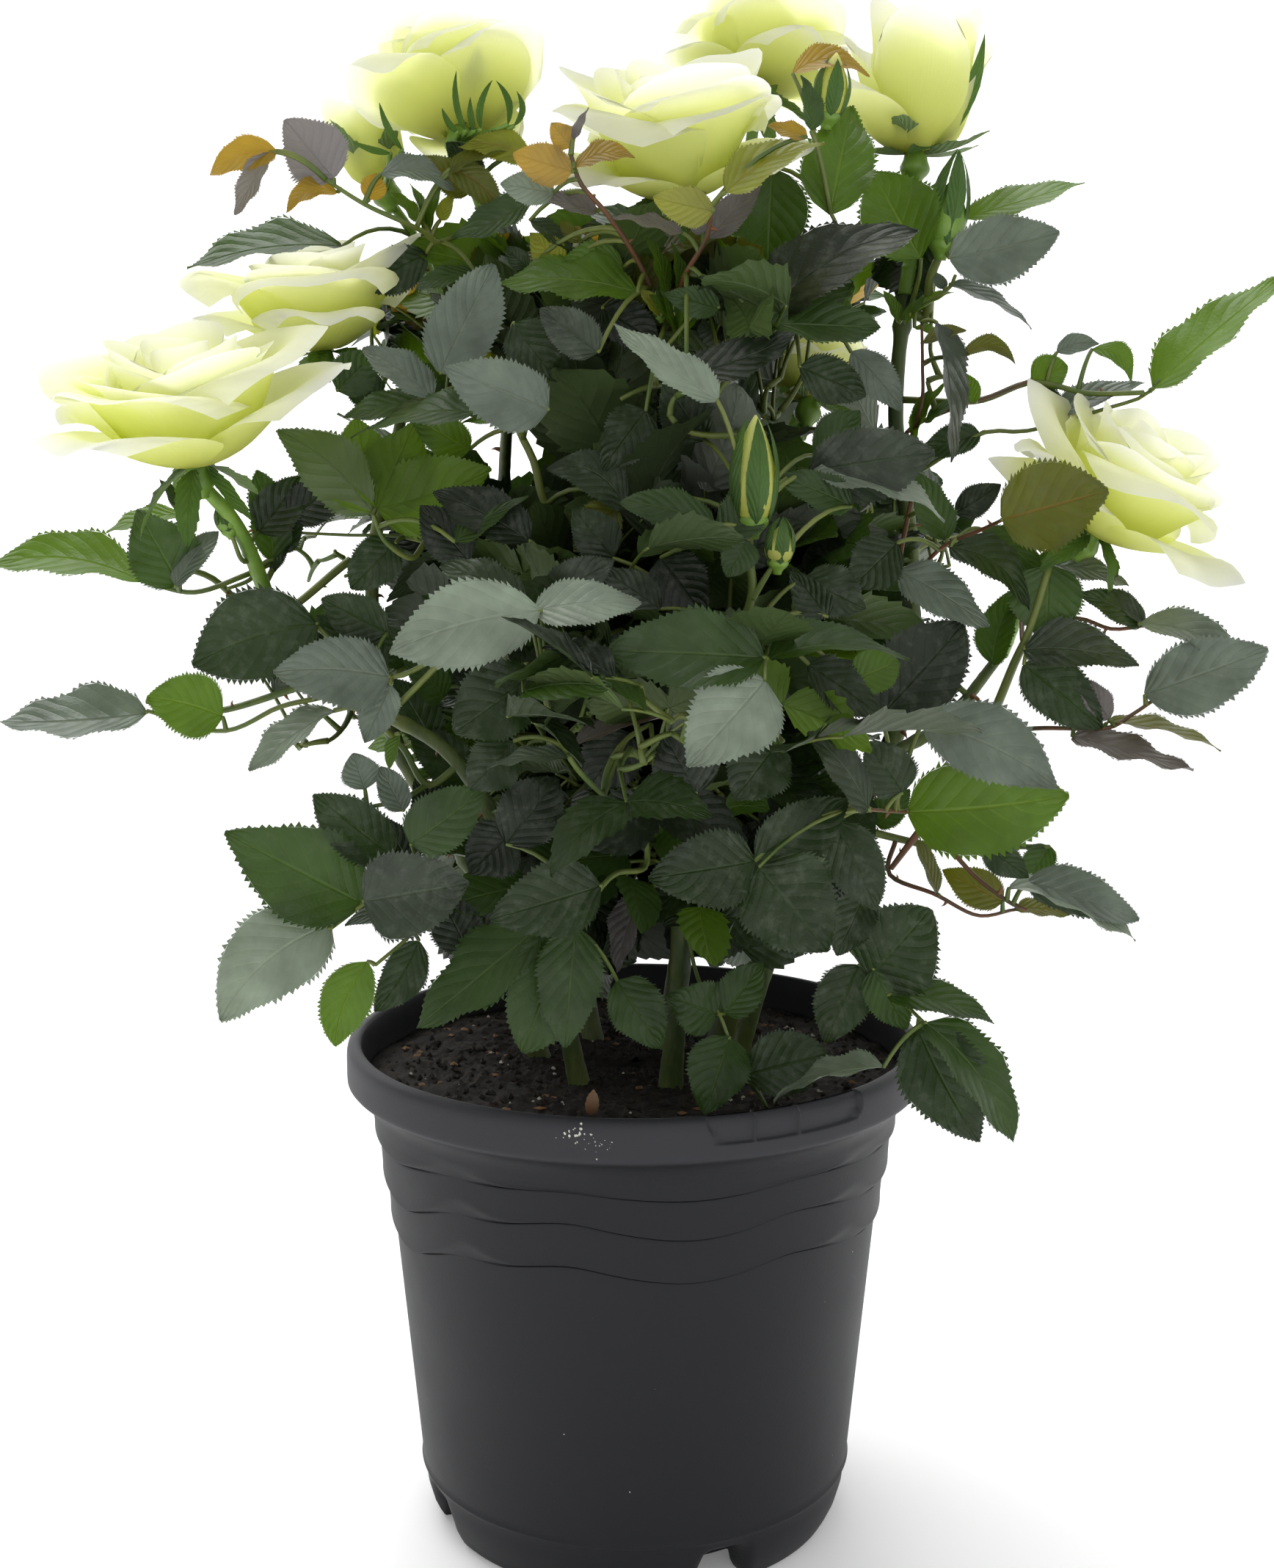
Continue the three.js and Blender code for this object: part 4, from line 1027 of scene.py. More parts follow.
def compound_leaves(spots, twigs):
    """Leaves of five leaflets on one stalk.

    The stalk starts at the spot and runs outwards from the crown's middle, a little up and then
    over; leaflets stand in pairs at 60 degrees to it, with one at its end.
    """
    count = len(spots)
    heart = np.stack([spots[:, 0] * 0.25, spots[:, 1] * 0.25, np.full(count, 300.0)], 1)
    outward = unit(spots - heart)
    ran = unit(twigs[:, -1] - twigs[:, -3])
    stalk = unit(outward + 0.3 * ran + np.array([0, 0, 0.12]) + 0.42 * rng.normal(size=(count, 3)))
    face = square_off(np.array([0, 0, 1.0]) + 0.45 * outward + 0.32 * rng.normal(size=(count, 3)), stalk)
    side = np.cross(face, stalk)
    size = rng.uniform(34, 47, count)
    long = size * rng.uniform(1.0, 1.25, count)
    share = np.linspace(0, 1, 6)[None, :, None]
    droop = 0.22 * long[:, None, None] * share**2
    rachis = spots[:, None] + stalk[:, None] * (long[:, None, None] * share) - face[:, None] * droop
    tints = rng.choice(len(TINT_NAMES), count, p=TINT_SHARES)
    young = (spots[:, 2] > YOUNG_ABOVE) & (rng.random(count) < 0.5)
    tints = np.where(young, rng.choice(YOUNG_TINTS, count), tints)
    made = []
    for where, turn, scale in LEAFLETS:
        start = rachis[:, 0] + (rachis[:, -1] - rachis[:, 0]) * where - face * (
            0.22 * long * (where**2 - where))[:, None]
        lean = np.radians(turn * rng.uniform(52, 68, count))[:, None]
        way = stalk * np.cos(lean) + side * np.sin(lean)
        way = unit(way - face * rng.uniform(0.05, 0.45, (count, 1)) + 0.12 * rng.normal(size=(count, 3)))
        length = size * scale * rng.uniform(0.85, 1.12, count)
        made.append((start, start + way * length[:, None], face + 0.22 * rng.normal(size=(count, 3)),
                     length * rng.uniform(0.54, 0.68, count), tints))
    return [np.concatenate(part) for part in zip(*made)], rachis


def off_middle(spots, across, down, wide, high):
    """How far each spot is from an ellipse's middle, where its edge is at 1."""
    return np.hypot((spots[..., 0] - across) / wide, (spots[..., 1] - down) / high)


GAP_MARGIN = 12  # kept clear round each sky gap, in the view's units
BLOOM_MARGIN = 12  # kept clear round each bloom, in millimetres
BLOOM_SIGHT = 3.9  # view units kept clear before a bloom for each millimetre of its radius
SHOWN_MARGIN = 20  # kept clear round each shown leaflet, in the view's units
MOUTH_REACH = 96  # leaflets just over the rim stay within this radius


def keep_leaflets(base, tip):
    """Which fill leaflets stay: inside the crown, clear of gaps, blooms and shown leaflets."""
    middle = 0.5 * (base + tip)
    scaled = (middle[:, None] - MASS_MIDDLE) / (MASS_HALF * 1.14)
    keep = (np.linalg.norm(scaled, axis=2) < 1).any(1)
    ends = np.stack([base, middle, tip], 1)
    scaled = (tip[:, None] - MASS_MIDDLE) / (MASS_HALF * 1.3)
    keep &= (np.linalg.norm(scaled, axis=2) < 1).any(1)
    at = seen_at(ends.reshape(-1, 3)).reshape(-1, 3, 2)
    keep &= inside_outline(at[:, 1], CROWN_OUTLINE) & inside_outline(at[:, 2], CROWN_OUTLINE)
    for across, down, wide, high in SKY_GAPS:
        off = off_middle(at, across, down, wide + GAP_MARGIN, high + GAP_MARGIN)
        keep &= (off > 1).all(1)
    for name in BLOOMS:
        foot, face, radius, height = bloom_axis(name)
        high = (middle - foot) @ face
        out = np.linalg.norm(middle - foot - high[:, None] * face, axis=1)
        keep &= ~((high > -6) & (out < radius + BLOOM_MARGIN) & (high < height + BLOOM_MARGIN + 2))
        seen = seen_at((foot + 0.5 * height * face)[None])[0]
        near = np.hypot(at[:, 1, 0] - seen[0], (at[:, 1, 1] - seen[1]) * 1.25)
        keep &= ~((near < radius * BLOOM_SIGHT) & (middle[:, 1] < foot[1] + 10))
    for across, down, depth, wide, high in shown_boxes:
        off = off_middle(at[:, 1], across, down, wide + SHOWN_MARGIN, high + SHOWN_MARGIN)
        keep &= ~((off < 1) & (middle[:, 1] < depth + 14))
    keep &= (ends[:, :, 2] > POT_HEIGHT).all(1)
    low = ends[:, :, 2].min(1) < POT_HEIGHT + 25
    keep &= ~(low & (np.hypot(ends[:, :, 0], ends[:, :, 1]).max(1) > MOUTH_REACH))
    return keep


(base, tip, lift, width, tints), fill_rachis = compound_leaves(fill_spots, fill_twigs)
kept = keep_leaflets(base, tip).reshape(len(LEAFLETS), -1)
kept &= kept.sum(0) >= 2
keep = kept.ravel()
reach = (kept * np.array([where for where, _, _ in LEAFLETS])[:, None]).max(0)
borne = kept.any(0)
leafy = borne.copy()
for index in range(len(borne) - 1, -1, -1):
    if borne[index] and fill_parents[index] >= 0:
        borne[fill_parents[index]] = True
add_bars(stalks, fill_twigs[borne], np.linspace(1.3, 0.8, 8)[None].repeat(borne.sum(), 0), sides=5)
share = np.linspace(0, 1, 6)
short = np.array([[np.interp(share * limit, share, line[:, axis]) for axis in range(3)]
                  for limit, line in zip(reach[leafy], fill_rachis[leafy])]).transpose(0, 2, 1)
add_bars(stalks, short, np.linspace(0.8, 0.5, 6)[None].repeat(leafy.sum(), 0), sides=4)
for index, tint in enumerate(TINT_NAMES):
    pick = keep & (tints == index)
    count = int(pick.sum())
    if count:
        add_blades(leaves[tint], base[pick], tip[pick], lift[pick], width[pick],
                   rng.uniform(0.1, 0.45, count), rng.uniform(0.0, 0.1, count),
                   rng.uniform(-0.04, 0.04, count), rng.uniform(-0.6, 0.6, count),
                   rng.uniform(0.015, 0.045, count))

# ---- blooms ----
PETAL_LAYERS = {
    # form: layers of (petals, length share, width in radii, opening, rim roll, start radius share)
    "wide": [
        (3, 0.84, 0.85, -8, 5, 0.04), (3, 0.94, 1.25, 0, 8, 0.08), (3, 1.0, 1.7, 7, 11, 0.12),
        (3, 1.04, 2.1, 13, 20, 0.16), (3, 1.05, 2.3, 18, 46, 0.19), (3, 1.16, 2.45, 31, 96, 0.2),
        (3, 1.06, 1.9, 50, 84, 0.2),
    ],
    "cup": [
        (5, 0.8, 0.9, -3, 4, 0.1), (5, 0.9, 1.3, 2, 8, 0.16), (5, 1.0, 1.6, 6, 12, 0.2),
        (3, 0.95, 1.7, 13, 22, 0.24), (1, 1.3, 1.7, 44, 34, 0.24),
    ],
    "bud": [
        (4, 0.85, 1.3, -3, 2, 0.12), (4, 0.95, 1.6, 4, 8, 0.2), (4, 0.98, 1.7, 11, 20, 0.26),
    ],
}
BLOOM_FORM = {
    "bloom_top_right": "cup", "bloom_half_open_left": "bud",
}


GOLDEN_TURN = 2.399  # radians from one layer of petals to the next
LONE_TURN = np.array([3.4])  # where the single fallen petal of a cup points
CLAW_SLOPE = 72  # degrees from the axis
LIP_START = 0.66  # share of the length where a petal begins to roll


def add_petals(pile, base, face, radius, height, form):
    """Spiral petals about the bloom's axis.

    Along a petal the slope from the axis goes from 72 degrees at the claw to the layer's opening,
    and rolls out over the last third, more at the sides than in the middle; radius and height are
    the sums of its sine and cosine. Across, the petal wraps the axis by half width over radius,
    grows narrower over the last third and is shorter at its sides, and the rim is ruffled.
    """
    east, north = square_pair(face)
    rows, columns = 13, 14
    s = np.linspace(0, 1, rows + 1)[None, :, None]
    t = np.linspace(-1, 1, columns + 1)[None, None, :]
    heading = rng.uniform(0, 2 * np.pi)
    for count, length, wide, opening, roll, start in PETAL_LAYERS[form]:
        turn = heading + np.arange(count) * 2 * np.pi / count + rng.normal(0, 0.22, count)
        heading += GOLDEN_TURN
        if count == 1:
            turn = LONE_TURN
        jitter = [rng.uniform(-1, 1, count)[:, None, None] for _ in range(5)]
        full = (height * 0.96 if opening < 30 else radius * 1.12) * length * (1 + 0.1 * jitter[0])
        half = radius * wide * 0.5 * (1 + 0.08 * jitter[1])
        slope = opening + (4 + 0.12 * max(opening, 0)) * jitter[2]
        end_share = (s - LIP_START) / 0.34
        lip = ease(end_share) * (0.75 + 0.25 * t * t) * (roll * (1 + 0.35 * jitter[3]))
        settle = ease(s / 0.34)
        straight = CLAW_SLOPE * (1 - settle) + slope * settle
        angle = np.radians(straight + lip)
        slant = 0.13 * t * np.sign(jitter[1]) * (opening > 0)
        step = full * (1 - 0.25 * np.abs(t) ** 2.6 + 0.7 * slant) / rows
        mean = 0.5 * (angle[:, 1:] + angle[:, :-1])
        claw = np.zeros((count, 1, columns + 1))
        out = np.concatenate([claw, np.cumsum(step * np.sin(mean), 1)], 1)
        up = np.concatenate([claw, np.cumsum(step * np.cos(mean), 1)], 1)
        out = start * radius + out
        girth = half * (0.34 + 0.66 * ease(s / 0.6)) * np.sqrt(1 - 0.55 * np.clip(end_share, 0, 1) ** 2)
        gains = full / rows * np.sin(np.radians(straight))
        middle = start * radius + np.cumsum(np.concatenate([claw[:, :, :1], gains[:, 1:]], 1), 1)
        wrap = np.clip(t * girth / np.maximum(middle, 0.12 * radius), -1.7, 1.7)
        ruffle = np.sin(4.2 * t + 6 * jitter[4]) + 0.6 * np.sin(7.9 * t + 9 * jitter[0])
        ruffle = ruffle * s**3 * (0.5 + 0.036 * max(opening, 0))
        out = out + 0.035 * radius * t * s + 0.5 * ruffle
        up = up + ruffle * 0.8
        spin = around(turn[:, None, None] + wrap, east, north)
        points = base + up[..., None] * face + out[..., None] * spin
        surface = np.stack([np.broadcast_to(s, (1, rows + 1, columns + 1)),
                            np.broadcast_to(0.5 + 0.5 * t, (1, rows + 1, columns + 1))], -1)
        pile.add(points.reshape(count, -1, 3), surface.reshape(1, -1, 2),
                 [grid_faces(rows, columns)[:, ::-1]])


def add_hip(pile, base, face, size):
    """The swelling under a bloom: a bar with an urn's radii."""
    share = np.linspace(-1.3, 0.75, 10)
    radii = size * np.array([0.42, 0.46, 0.62, 0.86, 1.0, 1.02, 0.92, 0.82, 0.78, 0.7])
    path = base + (share * size * 1.05)[:, None] * face
    add_bars(pile, path[None], radii[None], sides=16)


def add_sepals(pile, base, face, size, spread, long):
    """Five narrow pointed sepals from the hip's rim, spread degrees from the axis, about long mm."""
    turn = rng.uniform(0, 2 * np.pi) + np.arange(5) * 2 * np.pi / 5
    out = around(turn, *square_pair(face))
    angle = np.radians(spread + rng.uniform(-12, 12, 5))[:, None]
    start = base + 0.62 * size * out + 0.45 * size * face
    way = np.cos(angle) * face + np.sin(angle) * out
    lift = np.cos(angle) * out - np.sin(angle) * face
    reach = long * rng.uniform(0.75, 1.15, (5, 1))
    add_blades(pile, start, start + way * reach, -lift, 0.22 * reach[:, 0] + 2, 0.5,
               rng.uniform(-0.1, 0.14, 5), 0.0, rng.uniform(-0.8, 0.8, 5), 0.05, rows=10, columns=2)


HIP_SIZE = 5.4  # radius of the hips of the blooms
SEPAL_SPREAD = {"bloom_top_left": 46, "bloom_left_large": 135, "bloom_top_right": 72,
                "bloom_half_open_left": 34}  # degrees from the bloom's axis; the others have 118
sepals = Pile()
hips = Pile()
for name in BLOOMS:
    base, face, radius, height = bloom_axis(name)
    form = BLOOM_FORM.get(name, "wide")
    petals = Pile()
    add_petals(petals, base + 1.5 * face, face, radius, height, form)
    if name == "bloom_right":
        # one petal that hangs loose at its left
        add_blades(petals, spot([1450], [668], [-62]), spot([1347], [624], [-70]),
                   np.array([[0, -1, 0.5]]), 15.0, 0.3, 0.1, 0.1, bite=0.0)
    petals.piece("petals_" + name.removeprefix("bloom_"), PETAL_MATERIAL, "petals", [name])
    add_hip(hips, base - 3 * face, face, HIP_SIZE)
    add_sepals(sepals, base - 2 * face, face, HIP_SIZE, SEPAL_SPREAD.get(name, 118), 26)

# one long sepal over the top right bud
add_blades(sepals, spot([1236], [208], [-8]), spot([1342], [44], [-6]), np.array([[0.4, -1, 0]]),
           8.0, 0.4, 0.0, -0.15, rows=12, columns=4, bite=0.02)

FRONT_SEPALS = np.array([
    # across and down of the foot, then of the tip, sideways bow; they stand before the top left blooms
    (634, 178, 622, 96, 0.1), (655, 176, 671, 109, 0.12), (692, 170, 676, 110, -0.14),
    (622, 180, 602, 147, 0.1), (700, 172, 704, 124, -0.2), (646, 178, 641, 132, 0.06),
    (548, 204, 517, 140, 0.08), (532, 209, 480, 193, 0.06),
])
foot_across, foot_down, tip_across, tip_down, bow = FRONT_SEPALS.T
foot = spot(foot_across, foot_down, np.full(len(bow), -42.0))
point = spot(tip_across, tip_down, np.full(len(bow), -47.0))
add_blades(sepals, foot, point, np.array([[0.2, -1, 0.1]]) + 0 * foot, 2.3, 0.4, 0.05, bow,
           rows=10, columns=2, bite=0.05)
# the first six grow from one hip and the last two from the other
hip_spot = np.array([bloom_axis("bloom_top_left")[0]] * 6 + [bloom_axis("bloom_half_open_left")[0]] * 2)
add_bars(hips, np.stack([hip_spot - [0, 0, 3.0], foot], 1), np.tile([1.2, 0.8], (len(foot), 1)))

# ---- buds: base and tip in the view, seen width, depth, and how far the petals show ----
BUDS = [
    (1284, 334, 1306, 205, 54, -20, 0.0), (1025, 712, 1030, 556, 62, -112, 0.8),
    (1060, 766, 1066, 702, 40, -114, 0.3), (312, 722, 300, 684, 30, -66, 0.2),
    (1128, 158, 1140, 72, 46, -46, 1.0), (900, 432, 893, 388, 20, -62, 0.4),
    (918, 436, 926, 396, 18, -62, 0.4),
]
bud_petals = Pile()
for across, down, tip_across, tip_down, seen, depth, open_share in BUDS:
    foot = spot(across, down, depth)
    top = spot(tip_across, tip_down, depth - 2)
    face = unit(top - foot)
    length = float(np.linalg.norm(top - foot))
    girth = seen / (FOCAL / ((foot - EYE) @ FORWARD)) / 2
    share = np.linspace(0, 1, 14)
    body = girth * np.sin(np.pi * np.clip(share * 0.92 + 0.07, 0, 1) ** 0.72) ** 0.8
    path = foot + (share * length * (0.7 + 0.3 * open_share))[:, None] * face
    add_bars(bud_petals if open_share > 0.2 else hips, path[None], np.maximum(body, 0.35)[None], sides=18,
             relief=0.02)
    add_hip(hips, foot + 0.06 * length * face, face, 0.74 * girth)
    east = unit(np.cross(face, [0, 1.0, 0]))
    out = around(np.arange(5) * 2 * np.pi / 5 + 0.5, east, np.cross(face, east))
    start = foot + 0.75 * girth * out
    end = foot + (1.0 - 0.1 * open_share) * length * face + (0.08 + 0.4 * open_share) * girth * out
    add_blades(sepals, start, end, out + 0 * start, np.full(5, 1.0 * girth), -0.5,
               0.6 * girth / length, 0.0, 0.0, 0.02, rows=12, columns=4, bite=0.03)

hips.piece("hips", STEM_MATERIAL, "green_stem")
sepals.piece("sepals", SEPAL_MATERIAL, "leaves")
bud_petals.piece("bud_petals", PETAL_MATERIAL, "petals")

# ---- the pot ----
FOOT_LINE = [
    # radius, height: from the middle of the underside out to the bead over the foot
    (0.1, 0.0), (20, 0.0), (27.5, 0.2), (30, 3.0), (33, 7.0), (48, 7.0), (63, 7.0), (65.6, 4.0), (67, 0.4),
    (68, 0.0), (76.4, 0.0), (77.2, 0.6), (78.6, 3.0), (80.5, 7.0), (82.4, 13.6), (82.9, 19.5),
    (83.3, 20.6), (84.2, 21.5), (84.5, 22.2), (84.2, 22.9), (84.0, 24.2),
]
RIM_LINE = [
    # over the rim and down the inside to the middle of the floor
    (101.2, 164), (101.8, 166.6), (102.9, 169.0), (105.2, 171.8), (107.9, 173.6), (109.6, 174.8),
    (110.4, 175.8), (110.5, 178), (110.5, 180.2), (110.5, 180.8), (110.5, 181.4), (110.5, 184),
    (110.4, 186.4), (110, 188.2),
    (109, 189.4), (107.6, 190), (106.2, 190), (105.2, 189.4), (104.8, 188), (104.3, 184), (103.8, 176),
    (101, 166), (98.2, 160), (95, 142), (91.6, 122), (88.4, 90), (84.2, 50), (81.4, 24), (79.6, 12),
    (78.4, 10.6), (60, 10.5), (34, 10.5), (31, 10.2), (27, 3.7), (0.1, 3.5),
]
CRESTS = (127.4, 144.0, 158.6)  # mean height of the wavy steps in the wall
STEP = 1.15  # how far each wavy step stands out
RIM_RADIUS = 110.5
SLOT = (12.7, 46.5)  # headings of the rim's recess, in degrees to the right of the front
SLOT_RIBS = (21.8, 30.8)
WAVE_MARKS = np.array([
    # heading from the front, rise of the crest
    (-180, -1), (-150, 2), (-125, 4.5), (-100, 0), (-75, -6), (-61, -9), (-51, -4), (-42, 0.8), (-30, 0.8),
    (-20, 4), (-13, 5.5), (-5, 2.6), (5, -0.4), (13, -1.6), (22, 0), (30, 3), (35, 4.3), (45, 2), (65, -3),
    (90, 0), (120, 4), (150, 1), (180, -1),
], float)
ARCH_HEADINGS = np.radians(-66 + 90 * np.arange(4))
ARCH_HALF_WIDTH = 11.5
ARCH_HEIGHT = 15
FADES = (-40, 56, 96, 150, -125)  # headings at which the steps grow faint


def wall_radius(height):
    """The plain wall's radius: 84 at 24 mm above the ground and 0.0945 more for each millimetre."""
    return 84.0 + 0.0945 * (height - 24)


def subdivide(line, parts):
    """Points along a line, parts to each of its runs."""
    line = np.array(line, float)
    inside = [np.linspace(line[i], line[i + 1], parts, endpoint=False) for i in range(len(line) - 1)]
    return np.concatenate([*inside, line[-1:]])


def build_pot():
    """The pot as one turned wall.

    Wall radius: the plain wall's, and one step more above each wavy crest; crests follow the marks
    smoothed by a Gaussian of 3 degrees, and the step is spread over 7 mm where the wave fades. Foot
    heights under the bead are squeezed upwards into four drain arches. The rim has a recess with
    two ribs.
    """
    even = np.arange(-180, 180, 1.5)
    close = np.concatenate([np.arange(c - 1.2, c + 1.21, 0.24) for c in sorted(SLOT + SLOT_RIBS)])
    heading = np.unique(np.round(np.concatenate([even, close]), 2))
    turn = np.radians(heading - 90)
    foot = subdivide(FOOT_LINE, 2)
    near_crest = np.array([-0.9, -0.65, -0.45, -0.25, -0.08, 0.1, 0.3])
    rows = np.concatenate([np.linspace(25, 112, 16), np.linspace(114, 161.5, 66),
                           *[crest + near_crest for crest in CRESTS]])
    wall = np.sort(rows)[:, None] * np.array([0, 1.0]) + np.array([84.0, 0])
    rim = subdivide(RIM_LINE, 2)
    base_radius = np.concatenate([foot, wall, rim])[:, 0, None]
    base_height = np.concatenate([foot, wall, rim])[:, 1, None]
    order = np.arange(len(base_radius))[:, None]
    on_wall = (order >= len(foot)) & (order < len(foot) + len(wall))

    fine = np.arange(-180, 180)
    rises = np.interp(fine, WAVE_MARKS[:, 0], WAVE_MARKS[:, 1])
    steps = np.arange(360)
    kernel = np.exp(-0.5 * (np.minimum(steps, 360 - steps) / 3) ** 2)
    smooth = np.real(np.fft.ifft(np.fft.fft(rises) * np.fft.fft(kernel / kernel.sum())))
    rise = np.interp(heading, fine, smooth, period=360)
    hat = np.interp(base_height, [113, 127.4, 146, 158.6, 162], [0, 1, 1, 0.5, 0])
    height = base_height + np.where(on_wall, hat * rise, 0)
    radius = base_radius + 0 * turn
    radius = np.where(on_wall, wall_radius(height), radius)
    fade = sum(np.exp(-(((heading - c + 180) % 360 - 180) / 8) ** 2) for c in FADES)
    spread = 0.5 + 6.5 * np.clip(fade, 0, 1)
    for crest in CRESTS:
        above = base_height - crest
        past = ease((above + 0.4) / spread)
        ledge = STEP * past + 0.45 * past * np.exp(-np.clip(above, 0, 40) / 3.0)
        groove = 0.7 * np.exp(-((above + 0.42) / 0.26) ** 2) * (1 - np.clip(fade, 0, 1))
        radius = radius + np.where(on_wall, ledge - groove, 0)

    lift = np.zeros(len(turn))
    for way in ARCH_HEADINGS:
        off = np.abs((turn - way + np.pi) % (2 * np.pi) - np.pi) * 80 / ARCH_HALF_WIDTH
        lift = np.maximum(lift, ARCH_HEIGHT * (1 - np.clip(off, 0, 1) ** 6))
    under = (order < len(foot)) & (base_radius > 65) & (base_height < 20)
    height = np.where(under, lift + height * (20 - lift) / 20, height)
    inner = (order > len(foot) + len(wall)) & (base_height < 20) & (base_radius > 62)
    height = np.where(inner, np.maximum(height, lift + 2.2), height)

    slant = SLOT[0] + 0.35 * np.clip(187 - base_height, 0, 8)
    slot = ease((heading - slant) / 0.6) * ease((SLOT[1] - heading) / 0.9)
    slot = slot * ease((base_height - 180.4 - 4 * ease((heading - 43) / 4)) / 0.8)
    rib = sum(np.exp(-((heading - at) / 0.35) ** 2) for at in SLOT_RIBS)
    outer = (base_radius > 107) & (order > len(foot) + len(wall))
    radius = radius - np.where(outer, 1.5 * slot * (1 - np.clip(rib, 0, 1)), 0)
    points = np.stack([radius * np.cos(turn), radius * np.sin(turn), height], -1)
    surface = np.stack([np.broadcast_to(turn / (2 * np.pi), radius.shape), height / POT_HEIGHT], -1)
    pile = Pile()
    pile.add(points.reshape(1, -1, 3), surface.reshape(1, -1, 2),
             [grid_faces(len(base_radius) - 1, len(turn), ring=True)[:, ::-1]])
    pile.piece("pot_wall", POT_MATERIAL, "pot_plastic", ["pot"])


build_pot()

# ---- the compost ----
def soil_height(x, y):
    """Height of the compost: broad and fine ripples, a low mound in the middle, a dip at the wall."""
    distance = np.hypot(x, y)
    rough = 0.9 * np.sin(x / 7.3 + 1.2 * np.sin(y / 9)) * np.cos(y / 6.1)
    fine = 0.5 * np.sin(x / 2.1 + y / 3.3) * np.sin(y / 1.9 - x / 2.7)
    return SOIL_TOP + rough + fine - 1.5 * ease((distance - 88) / 16) + 0.8 * np.exp(-(distance / 45) ** 2)


SOIL_RADIUS = 103.2


def build_compost():
    """The compost's crumbly top with a plain plug of its depth under it."""
    rings, sides = 90, 200
    out = np.linspace(0.02, 1, rings)[:, None] * SOIL_RADIUS
    turn = np.arange(sides) / sides * 2 * np.pi
    x, y = out * np.cos(turn), out * np.sin(turn)
    z = soil_height(x, y) + rng.normal(0, 0.35, x.shape)
    top = np.stack([x, y, z], -1)
    wall = np.array([(102.6, 172.0), (97, 160), (91, 122), (87.6, 90), (80.6, 24), (79, 19),
                     (61, 18.5), (58, 11.2), (0.5, 11.0)])
    under = np.stack([wall[:, :1] * np.cos(turn), wall[:, :1] * np.sin(turn),
                      wall[:, 1:] + 0 * turn], -1)
    points = np.concatenate([top, under])
    pile = Pile()
    surface = np.stack([np.broadcast_to(turn / 6.283, points.shape[:2]), points[..., 2] / POT_HEIGHT], -1)
    pile.add(points.reshape(1, -1, 3), surface.reshape(1, -1, 2),
             [grid_faces(len(points) - 1, sides, ring=True)])
    pile.piece("compost_top", SOIL_MATERIAL, "compost", ["compost"])


build_compost()


def scatter_crumbs(name, count, small, large, material, flat=0.7):
    """Loose bits lying in the compost: squashed and turned six-cornered lumps, sunk by a third."""
    turn = rng.uniform(0, 2 * np.pi, count)
    out = 100.0 * np.sqrt(rng.uniform(0.02, 1, count))
    size = rng.uniform(small, large, (count, 1, 1)) * np.array([1, rng.uniform(0.6, 1), flat])
    lump = np.array([[1, 0, 0], [-1, 0, 0], [0, 1, 0], [0, -1, 0], [0, 0, 1], [0, 0, -1]], float)
    corners = lump[None] * size * rng.uniform(0.75, 1.25, (count, 6, 1))
    spin = rng.uniform(0, 2 * np.pi, (count, 1))
    x = corners[..., 0] * np.cos(spin) - corners[..., 1] * np.sin(spin)
    y = corners[..., 0] * np.sin(spin) + corners[..., 1] * np.cos(spin)
    east, north = out * np.cos(turn), out * np.sin(turn)
    middle = np.stack([east, north, soil_height(east, north)], 1)
    points = np.stack([x, y, corners[..., 2] + 0.3 * size[..., 2]], -1) + middle[:, None]
    faces = np.array([[0, 2, 4], [2, 1, 4], [1, 3, 4], [3, 0, 4], [2, 0, 5], [1, 2, 5], [3, 1, 5], [0, 3, 5]])
    pile = Pile()
    pile.add(points, np.zeros((6, 2)), [faces])
    pile.piece(name, material, "compost", smooth=False)


scatter_crumbs("compost_crumbs", 900, 0.8, 2.2, SOIL_MATERIAL)
scatter_crumbs("perlite", 60, 0.6, 1.7, crumb_material("perlite", (150, 144, 132), (214, 208, 196)))
scatter_crumbs("bark_chips", 80, 1.0, 2.6, crumb_material("bark_chip", (92, 66, 42), (140, 104, 66)), 0.35)

# ---- the grown piles become pieces ----
canes.piece("canes", CANE_MATERIAL, "cane_bark", list(CANES))
stems.piece("flower_stems", STEM_MATERIAL, "green_stem", list(STEMS))
brown_twigs.piece("thin_twigs", TWIG_MATERIAL, "green_stem")
stalks.piece("twigs_and_stalks", STALK_MATERIAL, "green_stem", list(TWIGS))
thorns.piece("thorns", THORN_MATERIAL, "cane_bark")
YOUNG = {"bronze", "plum", "olive", "gold"}
young_nodes = [name for name in MASS_NAMES if name.startswith("leaves_young")]
other_nodes = [name for name in MASS_NAMES if name not in young_nodes]
for tint, pile in leaves.items():
    slot = "young_leaves" if tint in YOUNG else "leaves"
    nodes = {"deep": other_nodes, "bronze": young_nodes}.get(tint, [])
    pile.piece("leaves_" + tint, TINT_MATERIAL[tint], slot, nodes)

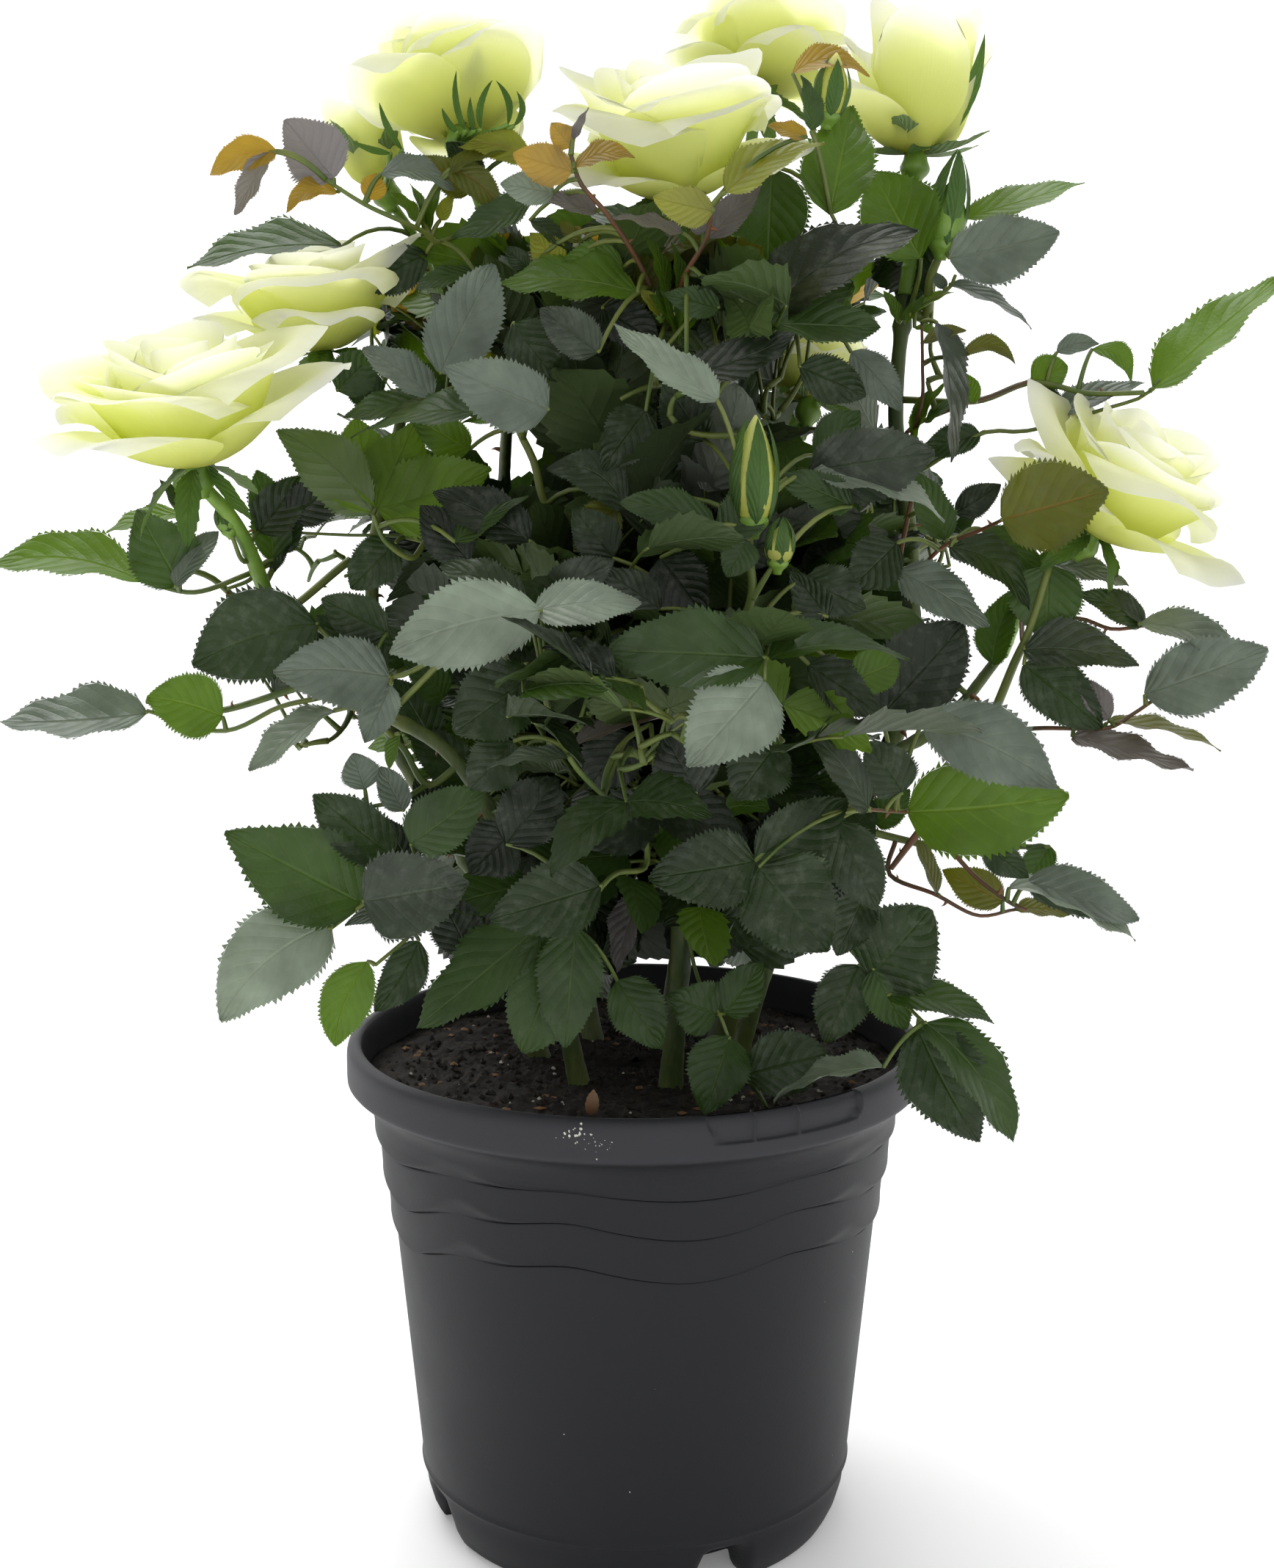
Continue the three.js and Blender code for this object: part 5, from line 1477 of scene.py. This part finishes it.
# ---- lime splashes and small scuffs on the pot ----
def add_flecks(pile, heading, height, size):
    """Thin flat flecks lying on the wall or the rim at headings from the front and heights."""
    steps = 3.4 * ease((height - 112) / 50)
    radius = np.where(height > 174, RIM_RADIUS, wall_radius(height) + steps)
    turn = np.radians(heading - 90)
    out = np.stack([np.cos(turn), np.sin(turn), 0 * turn], 1)
    across = np.stack([-np.sin(turn), np.cos(turn), 0 * turn], 1)
    corner = np.arange(7) / 7 * 2 * np.pi
    reach = size[:, None] * rng.uniform(0.5, 1.2, (len(size), 7))
    flat = (reach * np.cos(corner))[..., None] * across[:, None]
    flat = flat + (reach * 1.2 * np.sin(corner))[..., None] * np.array([0, 0.0, 1])
    middle = out * radius[:, None] + np.stack([0 * height, 0 * height, height], 1)
    ring = middle[:, None] + flat - 0.15 * out[:, None]
    points = np.concatenate([ring, (middle + 0.14 * out)[:, None]], 1)
    j = np.arange(7)
    pile.add(points, np.zeros((8, 2)), [np.stack([j, (j + 1) % 7, np.full(7, 7)], 1)])


flecks = Pile()
add_flecks(flecks, rng.normal(-10.5, 1.6, 26), rng.normal(185.2, 1.6, 26), rng.uniform(0.2, 0.8, 26))
add_flecks(flecks, rng.normal(-6.5, 1.5, 14), rng.normal(180.5, 2.4, 14), rng.uniform(0.15, 0.5, 14))
add_flecks(flecks, rng.uniform(-170, 170, 14), rng.uniform(30, 120, 14), rng.uniform(0.1, 0.3, 14))
add_flecks(flecks, np.array([-16.6, -1.2]), np.array([66.0, 45.0]), np.array([0.5, 0.5]))
flecks.piece("lime_flecks", crumb_material("lime", (176, 176, 166), (214, 214, 204)), "pot_plastic")

# ---- floor, backdrop and light ----
STAGE = {
    # name: corners in metres, roughness, grey, glow
    "floor": ([(-9, -6, 0), (9, -6, 0), (9, 4, 0), (-9, 4, 0)], 0.8, 0.92, 0.12),
    "backdrop": ([(-9, 4, 0), (9, 4, 0), (9, 4, 5), (-9, 4, 5)], 1.0, 0.8, 0.75),
}
WHITE = (1, 1, 1, 1)
for name, (corners, roughness, grey, glow) in STAGE.items():
    material, tree, shader, _ = new_material(name, roughness)
    set_inputs(tree, shader, {
        "Base Color": (grey, grey, grey, 1), "Emission Color": WHITE, "Emission Strength": glow,
    })
    mesh = bpy.data.meshes.new(name)
    mesh.from_pydata(corners, [], [(0, 1, 2, 3)])
    mesh.materials.append(material)
    plane = bpy.data.objects.new(name, mesh)
    bpy.context.scene.collection.objects.link(plane)

world = bpy.data.worlds.new("studio")
world.use_nodes = True
sky = world.node_tree.nodes["Background"]
set_inputs(world.node_tree, sky, {"Color": WHITE, "Strength": 0.62})
bpy.context.scene.world = world


def add_light(name, kind, place, aim, power, size):
    """A soft light at place that looks at aim, in metres; size is a width or an angle in radians."""
    light = bpy.data.lights.new(name, kind)
    light.energy = power
    if kind == "SUN":
        light.angle = size
    else:
        light.size = size
    lamp = bpy.data.objects.new(name, light)
    bpy.context.scene.collection.objects.link(lamp)
    lamp.location = place
    way = np.array(aim, float) - np.array(place, float)
    lamp.rotation_euler = (math.atan2(math.hypot(way[0], way[1]), -way[2]), 0, math.atan2(-way[0], way[1]))


add_light("high_light", "SUN", (-0.8, 1.6, 3.0), (0, 0, 0), 2.7, math.radians(50))
add_light("front_light", "AREA", (0.8, -2.0, 1.6), (0, 0, 0.3), 8, 1.8)
